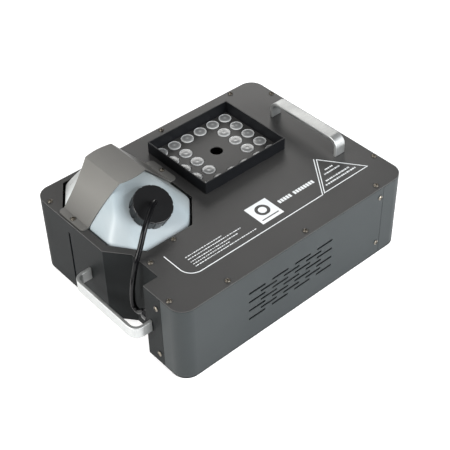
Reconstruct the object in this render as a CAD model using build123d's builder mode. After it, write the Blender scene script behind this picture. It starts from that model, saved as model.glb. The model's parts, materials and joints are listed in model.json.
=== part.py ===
from build123d import *
from math import cos, pi, radians, sin, tan
import os

# Stage fog machine with a lit vertical nozzle, a fluid tank under a strap and a side-fed pump.
# The origin is on the floor under the middle of the overall length and width.
# +X points from the tank end (front) to the control end (back), +Y to the left side, +Z up.
# "from_front" sizes run along +X from the front wall, "from_right" sizes run along +Y from the
# right wall, and "below_top" sizes run down from the upper face of the top cover.

# ---------- driving dimensions, in millimetres ----------
body_length = 427.0
body_width = 330.0
body_height = 130.0
foot_height = 8.0
corner_radius = 22.5
sheet = 1.5
base_sheet = 2.0
cover_seam = 0.8
panel_seam = 0.6
flange_width = 12.5
loose_gap = 0.3

notch_depth = 25.6
notch_near = 76.3
notch_inner = 133.7
notch_far = 166.0

front_seam = 42.4
rear_seam = 381.0
left_seam = 38.0
seam_lip = 18.0

vent_columns = 4
vent_rows = 4
vent_slot_length = 31.0
vent_slot_width = 3.6
vent_slot_pitch = 43.2
vent_row_pitch = 8.14
vent_from_front = 197.0
vent_below_top = 64.5

screw_radius = 2.0
screw_head_radius = 3.9
screw_head_height = 2.6
screw_length = 8.0
screw_slot_length = 4.4
screw_slot_width = 1.5
screw_slot_depth = 1.8
clearance_hole = 2.2
tapped_hole = 2.05

tank_front = 14.9
tank_back = 159.0
tank_right = 127.0
tank_left = 318.0
tank_front_cut = 31.5
tank_back_cut = 36.0
tank_side_cut = 43.5
tank_wall = 2.2
tank_top = 55.5
tank_tilt = 31.8
tank_rim_drop = 6.6
tank_end_slope = 47.7
tank_left_slope = 58.0
tank_opening_gap = 3.0

neck_radius = 25.2
neck_wall = 4.0
neck_height = 15.4
neck_from_facet = 50.6
neck_shift = 2.1
cap_wall = 3.6
cap_height = 20.0
cap_skirt_gap = 0.4
cap_top = 2.5
cap_grips = 12
cap_grip_radius = 2.4
seal_thickness = 2.0
pickup_depth = 8.0

hose_radius = 3.9
hose_rise = 31.9
hose_seat_depth = 4.5
gland_from_front = 12.8
gland_below_top = 73.0
gland_reach = 18.7
gland_radius = 9.5
gland_thread = 7.0

strap_middle = 244.2
strap_base_width = 58.3
strap_ridge_width = 79.2
strap_bulge = 3.0
strap_waist = 2.6
strap_front = 2.8
strap_flange = 11.5
strap_ridge_front = 66.0
strap_ridge_back = 110.0
strap_back = 172.7
strap_sheet = 1.8

led_columns = 6
led_rows = 5
led_gap_x = 3.5
led_gap_y = 4.5
led_from_front = 258.6
led_from_right = 226.0
lens_radius = 10.0
lens_collar_lip = 1.0
lens_collar_height = 2.0
lens_height = 12.0
lens_proud = 0.9
lens_edge = 0.2
lens_gap = 0.8
led_margin_x = 1.75
led_margin_y = 0.4
led_frame_height = 20.0
led_frame_wall = 1.6
led_board_drop = 15.4
nozzle_hole = 9.7
nozzle_tip_drop = 7.0

handle_length = 141.6
handle_width = 19.0
handle_height = 30.0
handle_thickness = 5.2
handle_bend = 15.5
top_handle_from_front = 387.3
top_handle_from_right = 164.4
front_handle_from_right = 134.1
front_handle_below_top = 66.9

level_slit_from_right = 246.4
level_slit_top = 20.4
level_slit_above_base = 18.0
level_slit_width = 4.2
level_window_border = 4.0
level_window_thickness = 1.0

heater_front = 195.0
heater_length = 140.0
heater_width = 60.0
heater_height = 45.0
heater_base = 32.0
heater_wrap = 8.0
heater_cover_sheet = 1.0

fan_size = 80.0
fan_depth = 25.0
fan_from_right = 4.0
fan_bore = 38.0
fan_hub = 15.0
fan_blades = 7
fan_pin = 1.5
fan_fit = 0.05

pump_from_front = 95.0
pump_from_right = 60.0
pump_base = 14.0
pump_barrel_length = 76.0
pump_barrel_radius = 9.0
pump_bore = 6.0
pump_fit = 0.05
tube_radius = 2.5

button_radius = 4.5
button_proud = 1.8
button_pitch = 17.0
button_from_right = 205.0
button_below_top = 68.0
button_collar = 6.0

fuse_cap_reach = 10.0

# ---------- places worked out from them ----------
front_x = -(body_length + fuse_cap_reach - handle_height) / 2
back_x = front_x + body_length
right_y = -body_width / 2
left_y = body_width / 2
top_z = foot_height + body_height
cover_z = top_z - sheet
wall_top = cover_z - cover_seam
base_top = foot_height + base_sheet
middle_x = (front_x + back_x) / 2
collar_width = 2 * (lens_radius + lens_collar_lip)
led_pitch_x = collar_width + led_gap_x
led_pitch_y = collar_width + led_gap_y
led_frame_length = (led_columns - 1) * led_pitch_x + collar_width + 2 * (led_margin_x + led_frame_wall)
led_frame_width = (led_rows - 1) * led_pitch_y + collar_width + 2 * (led_margin_y + led_frame_wall)


def place(from_front, from_right, below_top):
    """A point given by its distances from the front wall, the right wall and the top cover."""
    return (front_x + from_front, right_y + from_right, top_z - below_top)


def plan(from_front, from_right):
    """A point of the plan view."""
    return (front_x + from_front, right_y + from_right)


def across(y):
    """An upright sketch plane that faces -Y, whose own axes are +X and +Z."""
    return Plane.XZ.offset(-y)


def along(x):
    """An upright sketch plane that faces +X, whose own axes are +Y and +Z."""
    return Plane.YZ.offset(x)


def body_outline():
    """The plan of the case: a rounded rectangle with the tank notch cut from its front edge."""
    with Locations((middle_x, 0)):
        RectangleRounded(body_length, body_width, corner_radius)
    outside = front_x - 1
    Polygon(
        (outside, right_y + notch_far),
        plan(0, notch_far),
        plan(notch_depth, notch_inner),
        plan(notch_depth, notch_near),
        (outside, right_y + notch_near),
        align=None,
        mode=Mode.SUBTRACT,
    )


def window(x_low, x_high, y_low, y_high):
    """Keeps only the part of a plan sketch that lies inside a rectangle."""
    with Locations(((x_low + x_high) / 2, (y_low + y_high) / 2)):
        Rectangle(x_high - x_low, y_high - y_low, mode=Mode.INTERSECT)


def wall_stretch(x_low, x_high, y_low, y_high):
    """The stretch of the upright case wall inside a rectangle of the plan."""
    with BuildSketch(Plane.XY.offset(base_top)) as wall:
        body_outline()
        offset(amount=-sheet, kind=Kind.INTERSECTION, mode=Mode.SUBTRACT)
        window(x_low, x_high, y_low, y_high)
    extrude(wall.sketch, amount=wall_top - base_top)


def slab(x_low, x_high, y_low, y_high, z_low, z_high, mode=Mode.ADD):
    """A straight-sided block between two corners."""
    with BuildSketch(Plane.XY.offset(z_low)) as block:
        with Locations(((x_low + x_high) / 2, (y_low + y_high) / 2)):
            Rectangle(x_high - x_low, y_high - y_low)
    extrude(block.sketch, amount=z_high - z_low, mode=mode)


def flanges(x_low, x_high, y_low, y_high):
    """The inward flange under the top cover and its twin on the base plate."""
    slab(x_low, x_high, y_low, y_high, cover_z - sheet, cover_z)
    slab(x_low, x_high, y_low, y_high, base_top, base_top + sheet)


def drill_down(points, radius, z_low, z_high):
    """Round upright holes at points of the plan."""
    with BuildSketch(Plane.XY.offset(z_low)) as holes:
        with Locations(*points):
            Circle(radius)
    extrude(holes.sketch, amount=z_high - z_low, mode=Mode.SUBTRACT)


def drill_through_side(points, radius, y_low, y_high):
    """Round holes along Y at points given as X and Z."""
    with BuildSketch(across(y_high)) as holes:
        with Locations(*points):
            Circle(radius)
    extrude(holes.sketch, amount=y_high - y_low, mode=Mode.SUBTRACT)


def drill_through_end(points, radius, x_low, x_high):
    """Round holes along X at points given as Y and Z."""
    with BuildSketch(along(x_low)) as holes:
        with Locations(*points):
            Circle(radius)
    extrude(holes.sketch, amount=x_high - x_low, mode=Mode.SUBTRACT)


def vent_slots(y_low, y_high):
    """Staggered rows of horizontal slots: full rows, with a shorter row between each two."""
    with BuildSketch(across(y_high)) as slots:
        with Locations((front_x + vent_from_front, top_z - vent_below_top)):
            with GridLocations(vent_slot_pitch, 2 * vent_row_pitch, vent_columns, vent_rows):
                SlotOverall(vent_slot_length, vent_slot_width)
            with GridLocations(
                vent_slot_pitch, 2 * vent_row_pitch, vent_columns - 1, vent_rows - 1
            ):
                SlotOverall(vent_slot_length, vent_slot_width)
    extrude(slots.sketch, amount=y_high - y_low, mode=Mode.SUBTRACT)


def dome_radius(half_width, rise):
    """The radius of a round crown over a half width with a given rise."""
    return (half_width**2 + rise**2) / (2 * rise)


def pan_screw(length):
    """A pan-head screw with a cross recess, its head standing up from the origin."""
    with BuildPart() as screw:
        with BuildSketch(Plane.XZ):
            with BuildLine():
                Polyline(
                    (0, screw_head_height),
                    (0, -length),
                    (screw_radius, -length),
                    (screw_radius, 0),
                    (screw_head_radius, 0),
                    (screw_head_radius, 0.4 * screw_head_height),
                )
                RadiusArc(
                    (screw_head_radius, 0.4 * screw_head_height),
                    (0, screw_head_height),
                    -dome_radius(screw_head_radius, 0.6 * screw_head_height),
                )
            make_face()
        revolve(axis=Axis.Z)
        with Locations((0, 0, screw_head_height)):
            Box(screw_slot_length, screw_slot_width, 2 * screw_slot_depth, mode=Mode.SUBTRACT)
            Box(screw_slot_width, screw_slot_length, 2 * screw_slot_depth, mode=Mode.SUBTRACT)
    return screw.part


def facing(point, direction):
    """A plane at a point whose normal is the given direction."""
    return Plane(origin=point, z_dir=direction)


def bend_radii(points):
    """The largest fitting bend at each inner point: 0.45 of its shorter run."""
    radii = []
    for before, here, after in zip(points, points[1:], points[2:]):
        run_in = Vector(here) - Vector(before)
        run_out = Vector(after) - Vector(here)
        half_turn = radians(run_in.get_angle(run_out)) / 2
        radii.append(0.45 * min(run_in.length, run_out.length) / tan(half_turn))
    return radii


def bent_tube(points, radius, bore=0.0):
    """A round tube, or a rod if it has no bore, of straight runs joined by tangent bends."""
    with BuildLine() as path:
        FilletPolyline(*points, radius=bend_radii(points))
    start = Plane(origin=path.line @ 0, z_dir=path.line % 0)
    with BuildSketch(start) as section:
        Circle(radius)
        if bore:
            Circle(bore, mode=Mode.SUBTRACT)
    sweep(section.sketch, path=path.line)


def finish(piece, name):
    """Labels a finished piece and writes it."""
    piece.part.label = name
    export_step(piece.part, f"parts/{name}.step")


os.makedirs("parts", exist_ok=True)
case_screw = pan_screw(screw_length)

# ---------- screw places ----------
side_inset = 8.5
left_inset = 7.2
side_screw_inset = 6.6
panel_screw_drop = 18.6
panel_screw_rise = 22.0
front_screw_drop = 24.1
front_screw_rise = 15.6
side_screws_x = (87.0, 230.0, 373.0)
front_inset = 7.2
back_inset = 5.6
back_screws_y = (56.9, 278.2)
strap_screw_spots = ((8.4, strap_middle), (167.8, strap_middle))
notch_screw = (33.9, 103.0)
bay_screw = (85.9, 118.4)
cover_screw_spots = [plan(x, side_inset) for x in side_screws_x]
cover_screw_spots += [plan(x, body_width - left_inset) for x in side_screws_x]
cover_screw_spots += [plan(body_length - back_inset, y) for y in back_screws_y]
cover_screw_spots += [plan(front_inset, 31.4), plan(front_inset, 299.2)]
cover_screw_spots += [plan(*notch_screw), plan(*bay_screw)]
strap_spots = [plan(*spot) for spot in strap_screw_spots]

front_screw_y = right_y + front_seam + seam_lip / 2
side_screw_x = front_x + rear_seam - side_screw_inset
left_screw_x = front_x + left_seam + side_screw_inset
panel_screw_z = (top_z - panel_screw_drop, base_top + panel_screw_rise)
front_screw_z = (top_z - front_screw_drop, base_top + front_screw_rise)

# ---------- base plate ----------
foot_inset = 32.0
foot_spots = [
    plan(x, y)
    for x in (foot_inset, body_length - foot_inset)
    for y in (foot_inset, body_width - foot_inset)
]

with BuildPart() as base_plate:
    with BuildSketch(Plane.XY.offset(foot_height)):
        body_outline()
    extrude(amount=base_sheet)
    drill_down(foot_spots, tapped_hole, foot_height, base_top)
finish(base_plate, "base_plate")

# ---------- rubber feet and their screws ----------
foot_radius = 12.0
foot_toe_radius = 10.0
foot_recess_radius = 5.0
foot_recess_depth = 4.0

with BuildPart() as rubber_feet:
    for spot in foot_spots:
        with BuildSketch(Plane.XY):
            with Locations(spot):
                Circle(foot_toe_radius)
        with BuildSketch(Plane.XY.offset(foot_height)):
            with Locations(spot):
                Circle(foot_radius)
        loft()
    drill_down(foot_spots, foot_recess_radius, 0, foot_recess_depth)
    drill_down(foot_spots, clearance_hole, 0, foot_height)
finish(rubber_feet, "rubber_feet")

foot_screw = pan_screw(base_top - foot_recess_depth)
with BuildPart() as foot_screws:
    with Locations(*[facing((*spot, foot_recess_depth), (0, 0, -1)).location for spot in foot_spots]):
        add(foot_screw)
finish(foot_screws, "foot_screws")

# ---------- front panel: the notched front wall and the front left corner ----------
seam_half = panel_seam / 2
level_slit_low = base_top + level_slit_above_base
level_slit_high = top_z - level_slit_top

with BuildPart() as front_panel:
    wall_stretch(
        front_x - 1, front_x + left_seam - seam_half, right_y + front_seam + seam_half, left_y + 1
    )
    flanges(front_x + sheet, front_x + 12.6, right_y + notch_far + 4, left_y - corner_radius - 8)
    flanges(
        front_x + notch_depth + sheet,
        front_x + notch_depth + 14,
        right_y + notch_near + 10,
        right_y + notch_inner - 14,
    )
    slab(
        front_x + left_seam - seam_lip / 2,
        front_x + left_seam + seam_lip / 2 + 3,
        left_y - 2 * sheet,
        left_y - sheet,
        base_top + 4,
        wall_top - 4,
    )
    slab(
        front_x - 1,
        front_x + 2 * sheet,
        right_y + level_slit_from_right - level_slit_width / 2,
        right_y + level_slit_from_right + level_slit_width / 2,
        level_slit_low,
        level_slit_high,
        mode=Mode.SUBTRACT,
    )
    drill_down(cover_screw_spots + strap_spots, tapped_hole, cover_z - sheet, cover_z)
    drill_through_end(
        [(front_screw_y, z) for z in front_screw_z], clearance_hole, front_x - 1, front_x + sheet
    )
    drill_through_side(
        [(left_screw_x, z) for z in panel_screw_z], tapped_hole, left_y - 2 * sheet, left_y
    )
    drill_through_side(
        [(front_x + gland_from_front, top_z - gland_below_top)],
        gland_thread + 0.2,
        right_y + notch_near - sheet - 1,
        right_y + notch_near + 1,
    )
    front_handle_z = top_z - front_handle_below_top
    foot_reach = handle_length / 2 - handle_thickness / 2
    front_handle_y = right_y + front_handle_from_right
    drill_through_end(
        [(front_handle_y - foot_reach, front_handle_z), (front_handle_y + foot_reach, front_handle_z)],
        clearance_hole,
        front_x - 1,
        front_x + sheet,
    )
finish(front_panel, "front_panel")

# ---------- smoked strip behind the level slit ----------
with BuildPart() as level_window:
    with BuildSketch(along(front_x + sheet)):
        with Locations((right_y + level_slit_from_right, (level_slit_low + level_slit_high) / 2)):
            Rectangle(
                level_slit_width + 2 * level_window_border,
                level_slit_high - level_slit_low + 2 * level_window_border,
            )
    extrude(amount=level_window_thickness)
finish(level_window, "level_window")

# ---------- right side panel, wrapped round the front right corner, with vents ----------
with BuildPart() as right_side_panel:
    wall_stretch(
        front_x - 1,
        front_x + rear_seam - seam_half,
        right_y - 1,
        right_y + front_seam - seam_half,
    )
    flanges(
        front_x + corner_radius + 6, front_x + rear_seam - 2, right_y + sheet, right_y + 14
    )
    flanges(front_x + sheet, front_x + 13, right_y + corner_radius + 2, right_y + front_seam - 2)
    slab(
        front_x + sheet,
        front_x + 2 * sheet,
        right_y + front_seam - 8,
        right_y + front_seam + seam_lip,
        base_top + 4,
        wall_top - 4,
    )
    vent_slots(right_y - 1, right_y + 2 * sheet)
    drill_down(cover_screw_spots, tapped_hole, cover_z - sheet, cover_z)
    drill_through_end(
        [(front_screw_y, z) for z in front_screw_z], tapped_hole, front_x, front_x + 2 * sheet
    )
    drill_through_side(
        [(side_screw_x, z) for z in panel_screw_z], clearance_hole, right_y - 1, right_y + sheet
    )
finish(right_side_panel, "right_side_panel")

# ---------- left side panel: a flat sheet with the same vents ----------
with BuildPart() as left_side_panel:
    wall_stretch(
        front_x + left_seam + seam_half,
        front_x + rear_seam - seam_half,
        left_y - 2 * sheet,
        left_y + 1,
    )
    flanges(front_x + left_seam + 16, front_x + rear_seam - 14, left_y - 11.4, left_y - sheet)
    vent_slots(left_y - 2 * sheet, left_y + 1)
    drill_down(cover_screw_spots, tapped_hole, cover_z - sheet, cover_z)
    for screw_x in (left_screw_x, side_screw_x):
        drill_through_side(
            [(screw_x, z) for z in panel_screw_z], clearance_hole, left_y - sheet, left_y + 1
        )
finish(left_side_panel, "left_side_panel")

# ---------- rear panel: the control face with both back corners ----------
display_from_right = 230.5
display_below_top = 38.0
display_width = 58.0
display_height = 20.0
dmx_from_right = 150.0
dmx_in_below_top = 43.0
dmx_out_below_top = 88.0
dmx_body_radius = 11.5
dmx_flange_width = 26.0
dmx_flange_height = 31.0
inlet_from_right = 50.0
inlet_below_top = 92.0
inlet_width = 28.0
inlet_height = 22.0
switch_from_right = 50.0
switch_below_top = 44.0
switch_width = 26.0
switch_height = 20.0
fuse_from_right = 102.0
fuse_below_top = 92.0
fuse_body_radius = 6.5
panel_fit = 0.25
rear_inside = back_x - sheet
button_z = top_z - button_below_top
button_spots = {
    "button_menu": (right_y + button_from_right, button_z),
    "button_up": (right_y + button_from_right + button_pitch, button_z),
    "button_down": (right_y + button_from_right + 2 * button_pitch, button_z),
    "button_enter": (right_y + button_from_right + 3 * button_pitch, button_z),
}
dmx_in_spot = (right_y + dmx_from_right, top_z - dmx_in_below_top)
dmx_out_spot = (right_y + dmx_from_right, top_z - dmx_out_below_top)
inlet_spot = (right_y + inlet_from_right, top_z - inlet_below_top)
switch_spot = (right_y + switch_from_right, top_z - switch_below_top)
fuse_spot = (right_y + fuse_from_right, top_z - fuse_below_top)
display_spot = (right_y + display_from_right, top_z - display_below_top)

with BuildPart() as rear_panel:
    wall_stretch(front_x + rear_seam + seam_half, back_x + 1, right_y - 1, left_y + 1)
    flanges(back_x - 13, back_x - sheet, right_y + corner_radius + 8, left_y - corner_radius - 8)
    for y_low, y_high in (
        (right_y + sheet, right_y + 2 * sheet),
        (left_y - 2 * sheet, left_y - sheet),
    ):
        slab(
            front_x + rear_seam - seam_lip + 2,
            front_x + rear_seam + seam_lip / 2,
            y_low,
            y_high,
            base_top + 4,
            cover_z - sheet - 0.5,
        )
    slab(
        front_x + rear_seam - seam_lip + 1,
        front_x + rear_seam - 1,
        right_y,
        right_y + 15,
        cover_z - sheet - 0.5,
        cover_z,
        mode=Mode.SUBTRACT,
    )
    drill_down(cover_screw_spots, tapped_hole, cover_z - sheet, cover_z)
    for y_low in (right_y, left_y - 2 * sheet):
        drill_through_side(
            [(side_screw_x, z) for z in panel_screw_z], tapped_hole, y_low, y_low + 2 * sheet
        )
    with BuildSketch(along(rear_inside - 1)):
        with Locations(*button_spots.values()):
            Circle(button_radius + loose_gap)
        with Locations(dmx_in_spot, dmx_out_spot):
            Circle(dmx_body_radius + panel_fit)
        with Locations(inlet_spot):
            Rectangle(inlet_width + 2 * panel_fit, inlet_height + 2 * panel_fit)
        with Locations(switch_spot):
            Rectangle(switch_width + 2 * panel_fit, switch_height + 2 * panel_fit)
        with Locations(fuse_spot):
            Circle(fuse_body_radius + panel_fit)
        with Locations(display_spot):
            Rectangle(display_width + 2 * panel_fit, display_height + 2 * panel_fit)
    extrude(amount=sheet + 2, mode=Mode.SUBTRACT)
finish(rear_panel, "rear_panel")

# ---------- top cover ----------
led_x, led_y = plan(led_from_front, led_from_right)
tank_outline = [
    plan(tank_front, tank_left - tank_side_cut),
    plan(tank_front, tank_right + tank_side_cut),
    plan(tank_front + tank_front_cut, tank_right),
    plan(tank_back - tank_back_cut, tank_right),
    plan(tank_back, tank_right + tank_side_cut),
    plan(tank_back, tank_left - tank_side_cut),
    plan(tank_back - tank_back_cut, tank_left),
    plan(tank_front + tank_front_cut, tank_left),
]
frame_tab_length = 20.0
frame_tab_depth = 9.0
frame_tab_spots = [
    (led_x + side * 0.3 * led_frame_length, led_y + hand * (led_frame_width - led_frame_wall) / 2)
    for side in (-1, 1)
    for hand in (-1, 1)
]
top_handle_x = front_x + top_handle_from_front
top_handle_y = right_y + top_handle_from_right


def led_spots():
    """The lamp places: the outer ring of the grid and three more in each second end column."""
    spots = []
    for column in range(led_columns):
        for row in range(led_rows):
            on_ring = column in (0, led_columns - 1) or row in (0, led_rows - 1)
            inner_end = column in (1, led_columns - 2)
            if on_ring or inner_end:
                x = led_x + (column - (led_columns - 1) / 2) * led_pitch_x
                y = led_y + (row - (led_rows - 1) / 2) * led_pitch_y
                spots.append((x, y))
    return spots


with BuildPart() as top_cover:
    with BuildSketch(Plane.XY.offset(cover_z)):
        body_outline()
    extrude(amount=sheet)
    with BuildSketch(Plane.XY.offset(cover_z)):
        Polygon(*tank_outline, align=None)
        offset(amount=tank_opening_gap, kind=Kind.INTERSECTION)
        with Locations(*led_spots()):
            Circle(lens_radius + lens_gap)
        with Locations((led_x, led_y)):
            Circle(nozzle_hole)
        with Locations(*frame_tab_spots):
            Rectangle(frame_tab_length + 2 * loose_gap, led_frame_wall + 2 * loose_gap)
        with Locations(
            (top_handle_x, top_handle_y - foot_reach), (top_handle_x, top_handle_y + foot_reach)
        ):
            Circle(clearance_hole)
        with Locations(*cover_screw_spots, *strap_spots):
            Circle(clearance_hole)
    extrude(amount=sheet, mode=Mode.SUBTRACT)
finish(top_cover, "top_cover")

# ---------- case screws ----------
with BuildPart() as cover_screws:
    with Locations(*[Location((x, y, top_z)) for x, y in cover_screw_spots]):
        add(case_screw)
    with Locations(*[Location((x, y, top_z + strap_sheet)) for x, y in strap_spots]):
        add(case_screw)
finish(cover_screws, "cover_screws")

with BuildPart() as panel_screws:
    heads = [facing((front_x, front_screw_y, z), (-1, 0, 0)) for z in front_screw_z]
    heads += [facing((side_screw_x, right_y, z), (0, -1, 0)) for z in panel_screw_z]
    heads += [facing((side_screw_x, left_y, z), (0, 1, 0)) for z in panel_screw_z]
    heads += [facing((left_screw_x, left_y, z), (0, 1, 0)) for z in panel_screw_z]
    with Locations(*[head.location for head in heads]):
        add(case_screw)
finish(panel_screws, "panel_screws")

# ---------- fluid tank ----------
facet_rise = tan(radians(tank_tilt))
cap_axis = (0, -sin(radians(tank_tilt)), cos(radians(tank_tilt)))
facet_foot = Vector(*place(0, tank_right, tank_rim_drop))
neck_run = neck_from_facet * cos(radians(tank_tilt))
neck_x = (tank_front + tank_front_cut + tank_back - tank_back_cut) / 2 + neck_shift
neck_seat = Vector(
    front_x + neck_x,
    facet_foot.Y + neck_run,
    facet_foot.Z + neck_run * facet_rise,
)


def on_neck(height):
    """The plane across the neck at a height over its seat on the sloped facet."""
    return Plane(origin=neck_seat + Vector(*cap_axis) * height, x_dir=(1, 0, 0), z_dir=cap_axis)


tank_bottom = base_top + sheet
tank_facets = [
    (facet_foot, cap_axis),
    (
        Vector(*place(tank_front, tank_left, 0)),
        (-sin(radians(tank_end_slope)), 0, cos(radians(tank_end_slope))),
    ),
    (
        Vector(*place(tank_back, tank_left, 0)),
        (sin(radians(tank_end_slope)), 0, cos(radians(tank_end_slope))),
    ),
    (
        Vector(*place(tank_front, tank_left, 0)),
        (0, sin(radians(tank_left_slope)), cos(radians(tank_left_slope))),
    ),
    (Vector(*place(tank_front, tank_right + tank_side_cut, 0)), (-0.532, -0.431, 0.728)),
    (Vector(*place(tank_back, tank_right + tank_side_cut, 0)), (0.506, -0.446, 0.738)),
    (Vector(*place(tank_front, tank_left - tank_side_cut, 0)), (-0.600, 0.440, 0.668)),
    (Vector(*place(tank_back, tank_left - tank_side_cut, 0)), (0.575, 0.455, 0.680)),
    (Vector(0, 0, top_z + tank_top), (0, 0, 1)),
]


def tank_form(inset):
    """The eight-sided prism with its faceted top, every face moved in by the inset."""
    with BuildSketch(Plane.XY.offset(tank_bottom + inset)) as floor:
        Polygon(*tank_outline, align=None)
        if inset:
            offset(amount=-inset, kind=Kind.INTERSECTION)
    extrude(floor.sketch, amount=top_z + tank_top - tank_bottom)
    for point, normal in tank_facets:
        inner = Plane(origin=point - Vector(*normal).normalized() * inset, z_dir=normal)
        split(bisect_by=inner, keep=Keep.BOTTOM)


with BuildPart() as tank_cavity:
    tank_form(tank_wall)

with BuildPart() as fluid_tank:
    tank_form(0)
    add(tank_cavity.part, mode=Mode.SUBTRACT)
    with BuildSketch(on_neck(-2 * neck_wall)):
        Circle(neck_radius - neck_wall)
    extrude(amount=4 * neck_wall, mode=Mode.SUBTRACT)
finish(fluid_tank, "fluid_tank")

with BuildPart() as tank_neck:
    with BuildSketch(on_neck(0)):
        Circle(neck_radius)
        Circle(neck_radius - neck_wall, mode=Mode.SUBTRACT)
    extrude(amount=neck_height)
finish(tank_neck, "tank_neck")

# ---------- tank cap with its sealing disc ----------
cap_radius = neck_radius + cap_skirt_gap + cap_wall
cap_foot = neck_height + seal_thickness + cap_top - cap_height + 0.1
hose_hole = hose_radius + 0.35

with BuildPart() as tank_cap:
    with BuildSketch(on_neck(cap_foot)):
        Circle(cap_radius)
    extrude(amount=cap_height)
    fillet(tank_cap.faces().sort_by(Axis((0, 0, 0), cap_axis))[-1].edges(), 1.6)
    with BuildSketch(on_neck(cap_foot)):
        with PolarLocations(cap_radius + 1.1, cap_grips):
            Circle(cap_grip_radius)
    extrude(amount=cap_height, mode=Mode.SUBTRACT)
    with BuildSketch(on_neck(cap_foot)):
        Circle(neck_radius + cap_skirt_gap)
    extrude(amount=cap_height - cap_top, mode=Mode.SUBTRACT)
    with BuildSketch(on_neck(cap_foot)):
        Circle(hose_hole)
    extrude(amount=cap_height + 1, mode=Mode.SUBTRACT)
finish(tank_cap, "tank_cap")

with BuildPart() as cap_seal:
    with BuildSketch(on_neck(neck_height + 0.05)):
        Circle(neck_radius - 0.6)
        Circle(hose_hole, mode=Mode.SUBTRACT)
    extrude(amount=seal_thickness)
finish(cap_seal, "cap_seal")

# ---------- pickup tube and filter weight inside the tank ----------
filter_radius = 9.0
filter_height = 22.0
hose_start = on_neck(neck_height - pickup_depth)
filter_spot = place(neck_x, 190.0, 0)
pickup_points = [
    tuple(hose_start.origin),
    tuple(hose_start.origin - Vector(*cap_axis) * 18),
    (neck_seat.X, right_y + 188.0, top_z - 28),
    (filter_spot[0], filter_spot[1], tank_bottom + tank_wall + filter_height + 26),
    (filter_spot[0], filter_spot[1], tank_bottom + tank_wall + filter_height + 1),
]

with BuildPart() as pickup_tube:
    bent_tube(pickup_points, hose_radius)
finish(pickup_tube, "pickup_tube")

with BuildPart() as pickup_filter:
    with BuildSketch(Plane.XY.offset(tank_bottom + tank_wall + 1)):
        with Locations(filter_spot[:2]):
            Circle(filter_radius)
    extrude(amount=filter_height)
    fillet(pickup_filter.edges().filter_by(GeomType.CIRCLE), 2)
finish(pickup_filter, "pickup_filter")

strap_y = right_y + strap_middle

# ---------- tank bay: the folded sheet that carries the tank and parts it from the works ----------
bay_side = tank_right - 3.0
bay_back = tank_back + 4.0

with BuildPart() as tank_bay:
    side_y = right_y + bay_side
    back_wall_x = front_x + bay_back
    slab(front_x + 52, back_wall_x + sheet, side_y - sheet, right_y + 300, base_top, base_top + sheet)
    slab(front_x + 56, front_x + 118, side_y - sheet, side_y, base_top, cover_z)
    slab(front_x + 68, front_x + 106, side_y - flange_width, side_y, cover_z - sheet, cover_z)
    slab(back_wall_x, back_wall_x + sheet, right_y + 176, right_y + 268, base_top, cover_z)
    slab(
        back_wall_x,
        back_wall_x + flange_width,
        strap_y - 18,
        strap_y + 18,
        cover_z - sheet,
        cover_z,
    )
    drill_down([plan(*bay_screw), strap_spots[1]], tapped_hole, cover_z - sheet, cover_z)
finish(tank_bay, "tank_bay")

# ---------- strap over the tank ----------
strap_foot_front = strap_front + strap_flange
strap_foot_back = strap_back - strap_flange - 1.5
strap_peak = tank_top + strap_sheet + 1.2

with BuildPart() as tank_strap:
    with BuildSketch(across(strap_y + strap_ridge_width)):
        with BuildLine() as fold:
            Polyline(
                (front_x + strap_front, top_z),
                (front_x + strap_foot_front, top_z),
                (front_x + strap_ridge_front, top_z + strap_peak - strap_sheet),
                (front_x + strap_ridge_back, top_z + strap_peak - strap_sheet),
                (front_x + strap_foot_back, top_z),
                (front_x + strap_back, top_z),
            )
            offset(amount=strap_sheet, side=Side.LEFT, kind=Kind.INTERSECTION)
        make_face()
    extrude(amount=2 * strap_ridge_width)
    with BuildSketch(Plane.XY.offset(top_z - 1)):
        with BuildLine():
            half_base = strap_base_width / 2
            half_ridge = strap_ridge_width / 2
            corners = [
                (front_x + strap_front, strap_y - half_base),
                (front_x + strap_foot_front, strap_y - half_base),
                (front_x + strap_ridge_front, strap_y - half_ridge),
                (front_x + strap_ridge_back, strap_y - half_ridge),
                (front_x + strap_foot_back, strap_y - half_base),
                (front_x + strap_back, strap_y - half_base),
            ]
            waist_front = (
                (corners[1][0] + corners[2][0]) / 2,
                (corners[1][1] + corners[2][1]) / 2 + strap_waist,
            )
            waist_back = (
                (corners[3][0] + corners[4][0]) / 2,
                (corners[3][1] + corners[4][1]) / 2 + strap_waist,
            )
            crown = ((corners[2][0] + corners[3][0]) / 2, corners[2][1] - strap_bulge)
            Line(corners[0], corners[1])
            ThreePointArc(corners[1], waist_front, corners[2])
            ThreePointArc(corners[2], crown, corners[3])
            ThreePointArc(corners[3], waist_back, corners[4])
            Line(corners[4], corners[5])
            Line(corners[5], (corners[5][0], strap_y))
            Line((corners[0][0], strap_y), corners[0])
            mirror(about=Plane.XZ.offset(-strap_y))
        make_face()
        fillet(vertices().group_by(Axis.X)[0], 6)
        fillet(vertices().group_by(Axis.X)[-1], 6)
    extrude(amount=strap_peak + 5, mode=Mode.INTERSECT)
    drill_down(strap_spots, clearance_hole, top_z - 1, top_z + strap_sheet + 1)
finish(tank_strap, "tank_strap")

# ---------- carrying handles ----------


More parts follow.
